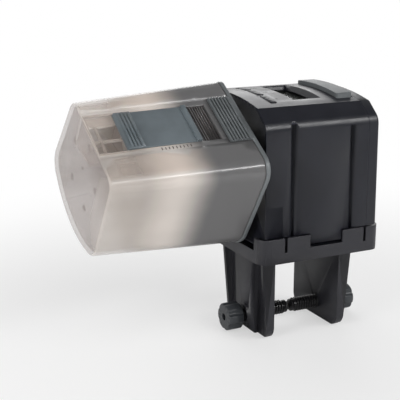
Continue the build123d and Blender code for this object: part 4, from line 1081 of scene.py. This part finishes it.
@dataclass
class FoodDrum:
    """Clear drum, its cap and portion gate, with the scale and the mould's marks."""

    clear: FrostedDrum = FrostedDrum(
        # The second colour is the painted shade on the drum's edges.
        "smoky_drum", (0.72, 0.66, 0.61), (0.10, 0.065, 0.058), body=0.44, roughness=0.17, edge=0.5 * MM,
        # Painted light and shade by side: the gate's side clearer and a touch lighter, the end face darker.
        painted_sides=(PaintedSide((-0.04, -0.54, 0.84), 0.34, (0.74, 0.64, 0.57)),
                     PaintedSide((-1.0, 0.0, 0.0), 0.30, (0.50, 0.43, 0.41))))
    cap: Moulded = Moulded("grey_cap", (0.14, 0.152, 0.158), 0.38, Grain.SATIN, 0.3 * MM, 1.3)
    gate: Moulded = Moulded("blue_grey_gate", (0.135, 0.160, 0.175), 0.36, Grain.SATIN, 0.3 * MM, 2.4)
    scale_print: Moulded = Moulded("scale_print", (0.05, 0.035, 0.03), 0.5, Grain.SATIN)
    tick_count: int = 9
    tick_pitch: float = 1.7 * MM
    tick_width: float = 0.4 * MM
    tick_length: float = 1.5 * MM
    tick_height: float = 0.05 * MM
    rail_offset: float = 0.6 * MM
    scale_inset: float = 6 * MM
    scale_drop: float = 8 * MM
    end_wall: float = 1.8 * MM
    nub_count: int = 5
    nub_ring: float = 16 * MM
    nub_radius: float = 1.5 * MM
    nub_height: float = 0.4 * MM
    nub_lift: float = 0.1 * MM
    sprue_radius: float = 0.9 * MM
    sprue_taper: float = 0.6
    sprue_above_axis: float = 2.0 * MM

    def build(self) -> None:
        """Dress the drum's pieces and add their marks."""
        clear = self.clear.material()
        skin("hopper", clear)
        skin("hopper_cap", self.cap.material())
        skin("portion_gate", self.gate.material())
        self.print_scale()
        self.raise_nubs(clear)

    def turned_frame(self) -> Matrix:
        """Directions of the gate's side of the drum.

        Returns:
            A rotation whose X runs along the gate's slide and whose Z stands up from the gate's side.
        """
        axis = Vector(joint("gate_slide")["axis"])
        across = Vector((0, axis.z, -axis.y)).normalized()
        up = axis.cross(across)
        return Matrix((axis, across, up)).transposed().to_4x4()

    def print_scale(self) -> None:
        """Short ticks on the near rail beside the gate."""
        turn = self.turned_frame()
        form = frame["nodes"]["portion_gate"].data
        back = turn.transposed()
        spots = [back @ vertex.co for vertex in form.vertices]
        near = min(spot.y for spot in spots) - self.rail_offset
        right = max(spot.x for spot in spots)
        top = max(spot.z for spot in spots)
        run = (self.tick_count - 1) * self.tick_pitch
        start = turn @ Vector((right - run - self.scale_inset, near, top + self.scale_drop))
        foot, _ = seat("hopper", start, -turn.col[2].to_3d())
        mesh = row_tree(self.scale_print.material()).mesh({
            "Count": self.tick_count, "Pitch": self.tick_pitch, "Width": self.tick_width,
            "Length": self.tick_length, "Height": self.tick_height})
        mesh.transform(Matrix.Translation(foot) @ turn)
        place("portion_scale", mesh, "hopper")

    def raise_nubs(self, clear: bpy.types.Material) -> None:
        """Raise the ejector marks, in a ring, and the sprue's nub on the inside of the drum's end wall.

        Args:
            clear: the drum's material.
        """
        _, middle, height = joint("drum_spin")["pos_m"]
        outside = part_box("hopper")[0].x
        inside = Vector((outside + self.end_wall + self.nub_lift, middle, height))
        marks = ring_tree(clear).mesh({"Count": self.nub_count, "Ring": self.nub_ring,
                                       "Radius": self.nub_radius, "Height": self.nub_height})
        marks.transform(Matrix.Translation(inside))
        smooth(marks)
        place("ejector_marks", marks, "hopper")
        sprue = bpy.data.meshes.new("sprue_nub")
        form = bmesh.new()
        foot = Matrix.Translation(inside + Vector((0.0, 0.0, self.sprue_above_axis)))
        bmesh.ops.create_cone(form, cap_ends=True, segments=DISC_SIDES, radius1=self.sprue_radius,
                              radius2=self.sprue_radius * self.sprue_taper, depth=self.nub_height,
                              matrix=foot @ Matrix.Rotation(QUARTER_TURN, 4, "Y"))
        form.to_mesh(sprue)
        form.free()
        sprue.materials.append(clear)
        smooth(sprue)
        place("sprue_nub", sprue, "hopper")


@dataclass
class Display:
    """Window, liquid crystal and its digits."""

    crystal: LiquidCrystal = LiquidCrystal("olive_crystal", (0.030, 0.031, 0.020))
    # The second colour is the painted shade on the window's edges.
    window: Smoky = Smoky("tinted_window", (0.05, 0.055, 0.05), (0.02, 0.02, 0.02), body=0.22,
                          roughness=0.06, edge=0.15 * MM)
    ink: Moulded = Moulded("segment_ink", (0.006, 0.006, 0.005), 0.3, Grain.SATIN, 0.02 * MM)
    digits: str = "1200"
    digit_width: float = 2.6 * MM
    digit_height: float = 4.8 * MM
    digit_pitch: float = 4.6 * MM
    bar: float = 0.55 * MM
    raised: float = 0.04 * MM
    lit: Mapping[str, str] = field(default_factory=lambda: {"0": "abcdef", "1": "bc", "2": "abged"})

    def build(self) -> None:
        """Dress the display and lay the digits on it."""
        dress("display_module", self.crystal.material())
        dress("display_window", self.window.material())
        low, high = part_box("display_module")
        face = perch("display_module", (low.x + high.x) / 2, (low.y + high.y) / 2)
        mesh = bpy.data.meshes.new("digits")
        form = bmesh.new()
        start = (len(self.digits) - 1) / 2
        for index, digit in enumerate(self.digits):
            for segment in self.lit[digit]:
                self.lay_bar(form, (index - start) * self.digit_pitch, segment)
        for sign in (-1, 1):
            self.lay_block(form, (0.0, sign * self.digit_height / 4), (self.bar, self.bar))
        form.to_mesh(mesh)
        form.free()
        mesh.materials.append(self.ink.material())
        mesh.transform(face @ Matrix.Rotation(-QUARTER_TURN, 4, "Z"))
        place("display_digits", mesh, "display_module")

    def lay_bar(self, form: bmesh.types.BMesh, offset: float, segment: str) -> None:
        """Lay one segment of a digit.

        Args:
            form: the mesh being built.
            offset: the digit's place along its line.
            segment: the segment's letter, a to g.
        """
        half_width = self.digit_width / 2
        half_height = self.digit_height / 2
        long = half_height - self.bar
        places = {"a": (0, half_height), "g": (0, 0), "d": (0, -half_height),
                  "b": (half_width, half_height / 2), "c": (half_width, -half_height / 2),
                  "f": (-half_width, half_height / 2), "e": (-half_width, -half_height / 2)}
        across, along = places[segment]
        lying = segment in "agd"
        size = (self.digit_width - self.bar, self.bar) if lying else (self.bar, long)
        self.lay_block(form, (offset + across, along), size)

    def lay_block(self, form: bmesh.types.BMesh, middle: Span, size: Span) -> None:
        """Lay a low flat block.

        Args:
            form: the mesh being built.
            middle: its middle.
            size: its width and height.
        """
        spot = Matrix.Translation((*middle, self.raised / 2)) @ Matrix.Diagonal((*size, self.raised, 1))
        bmesh.ops.create_cube(form, size=1.0, matrix=spot)


@dataclass
class Works:
    """Everything inside: board, cells, motor and gears."""

    board: Laminate = Laminate("green_board", (0.012, 0.075, 0.030), (0.03, 0.14, 0.06))
    pad: Moulded = Moulded("silicone_pad", (0.22, 0.22, 0.22), 0.6, Grain.SATIN)
    carrier: Moulded = Moulded("black_carrier", (0.03, 0.03, 0.033), 0.5)
    acetal: Moulded = Moulded("white_acetal", (0.72, 0.72, 0.69), 0.38, Grain.SATIN, 0.15 * MM, 1.05)
    can: Plated = Plated("motor_can", (0.56, 0.56, 0.55), 0.28)
    zinc: Plated = Plated("zinc_plate", (0.62, 0.63, 0.66), 0.24)
    nickel: Plated = Plated("nickel_plate", (0.72, 0.70, 0.66), 0.16)
    lower: Sleeve = Sleeve("lower_sleeve", (0.015, 0.03, 0.025), (0.42, 0.20, 0.08), 1)
    upper: Sleeve = Sleeve("upper_sleeve", (0.015, 0.03, 0.025), (0.42, 0.20, 0.08), -1)

    def build(self) -> None:
        """Dress every inner node."""
        gears = ("output_gear", "second_idler_gear", "first_idler_gear", "motor_pinion", "switch_cam")
        acetal = self.acetal.material()
        for node in gears:
            dress(node, acetal)
        for node in ("drive_hub", "hub_bush"):
            skin(node, acetal)
        wardrobe: tuple[tuple[Finish, tuple[str, ...]], ...] = (
            (self.board, ("circuit_board",)),
            (self.pad, ("button_pad",)),
            (self.carrier, ("battery_holder", "gearbox_plate", "position_switch")),
            (self.can, ("motor",)),
            (self.zinc, ("base_screws", "board_screws", "gearbox_screws", "idler_pins", "motor_shaft")),
            (self.nickel, ("contact_plates", "contact_springs")),
            (self.lower, ("lower_battery",)),
            (self.upper, ("upper_battery",)),
        )
        for finish, nodes in wardrobe:
            material = finish.material()
            for node in nodes:
                dress(node, material)
                LOG.info("%s: %s", node, material.name)


def main() -> None:
    """Build the studio and every sub-assembly."""
    logging.basicConfig(level=logging.INFO, format="%(message)s")
    for part in (Studio(), DriveHousing(), RimClamp(), FoodDrum(), Display(), Works()):
        LOG.info("building %s", type(part).__name__)
        part.build()
    bpy.context.view_layer.update()


if __name__ == "__main__":
    main()
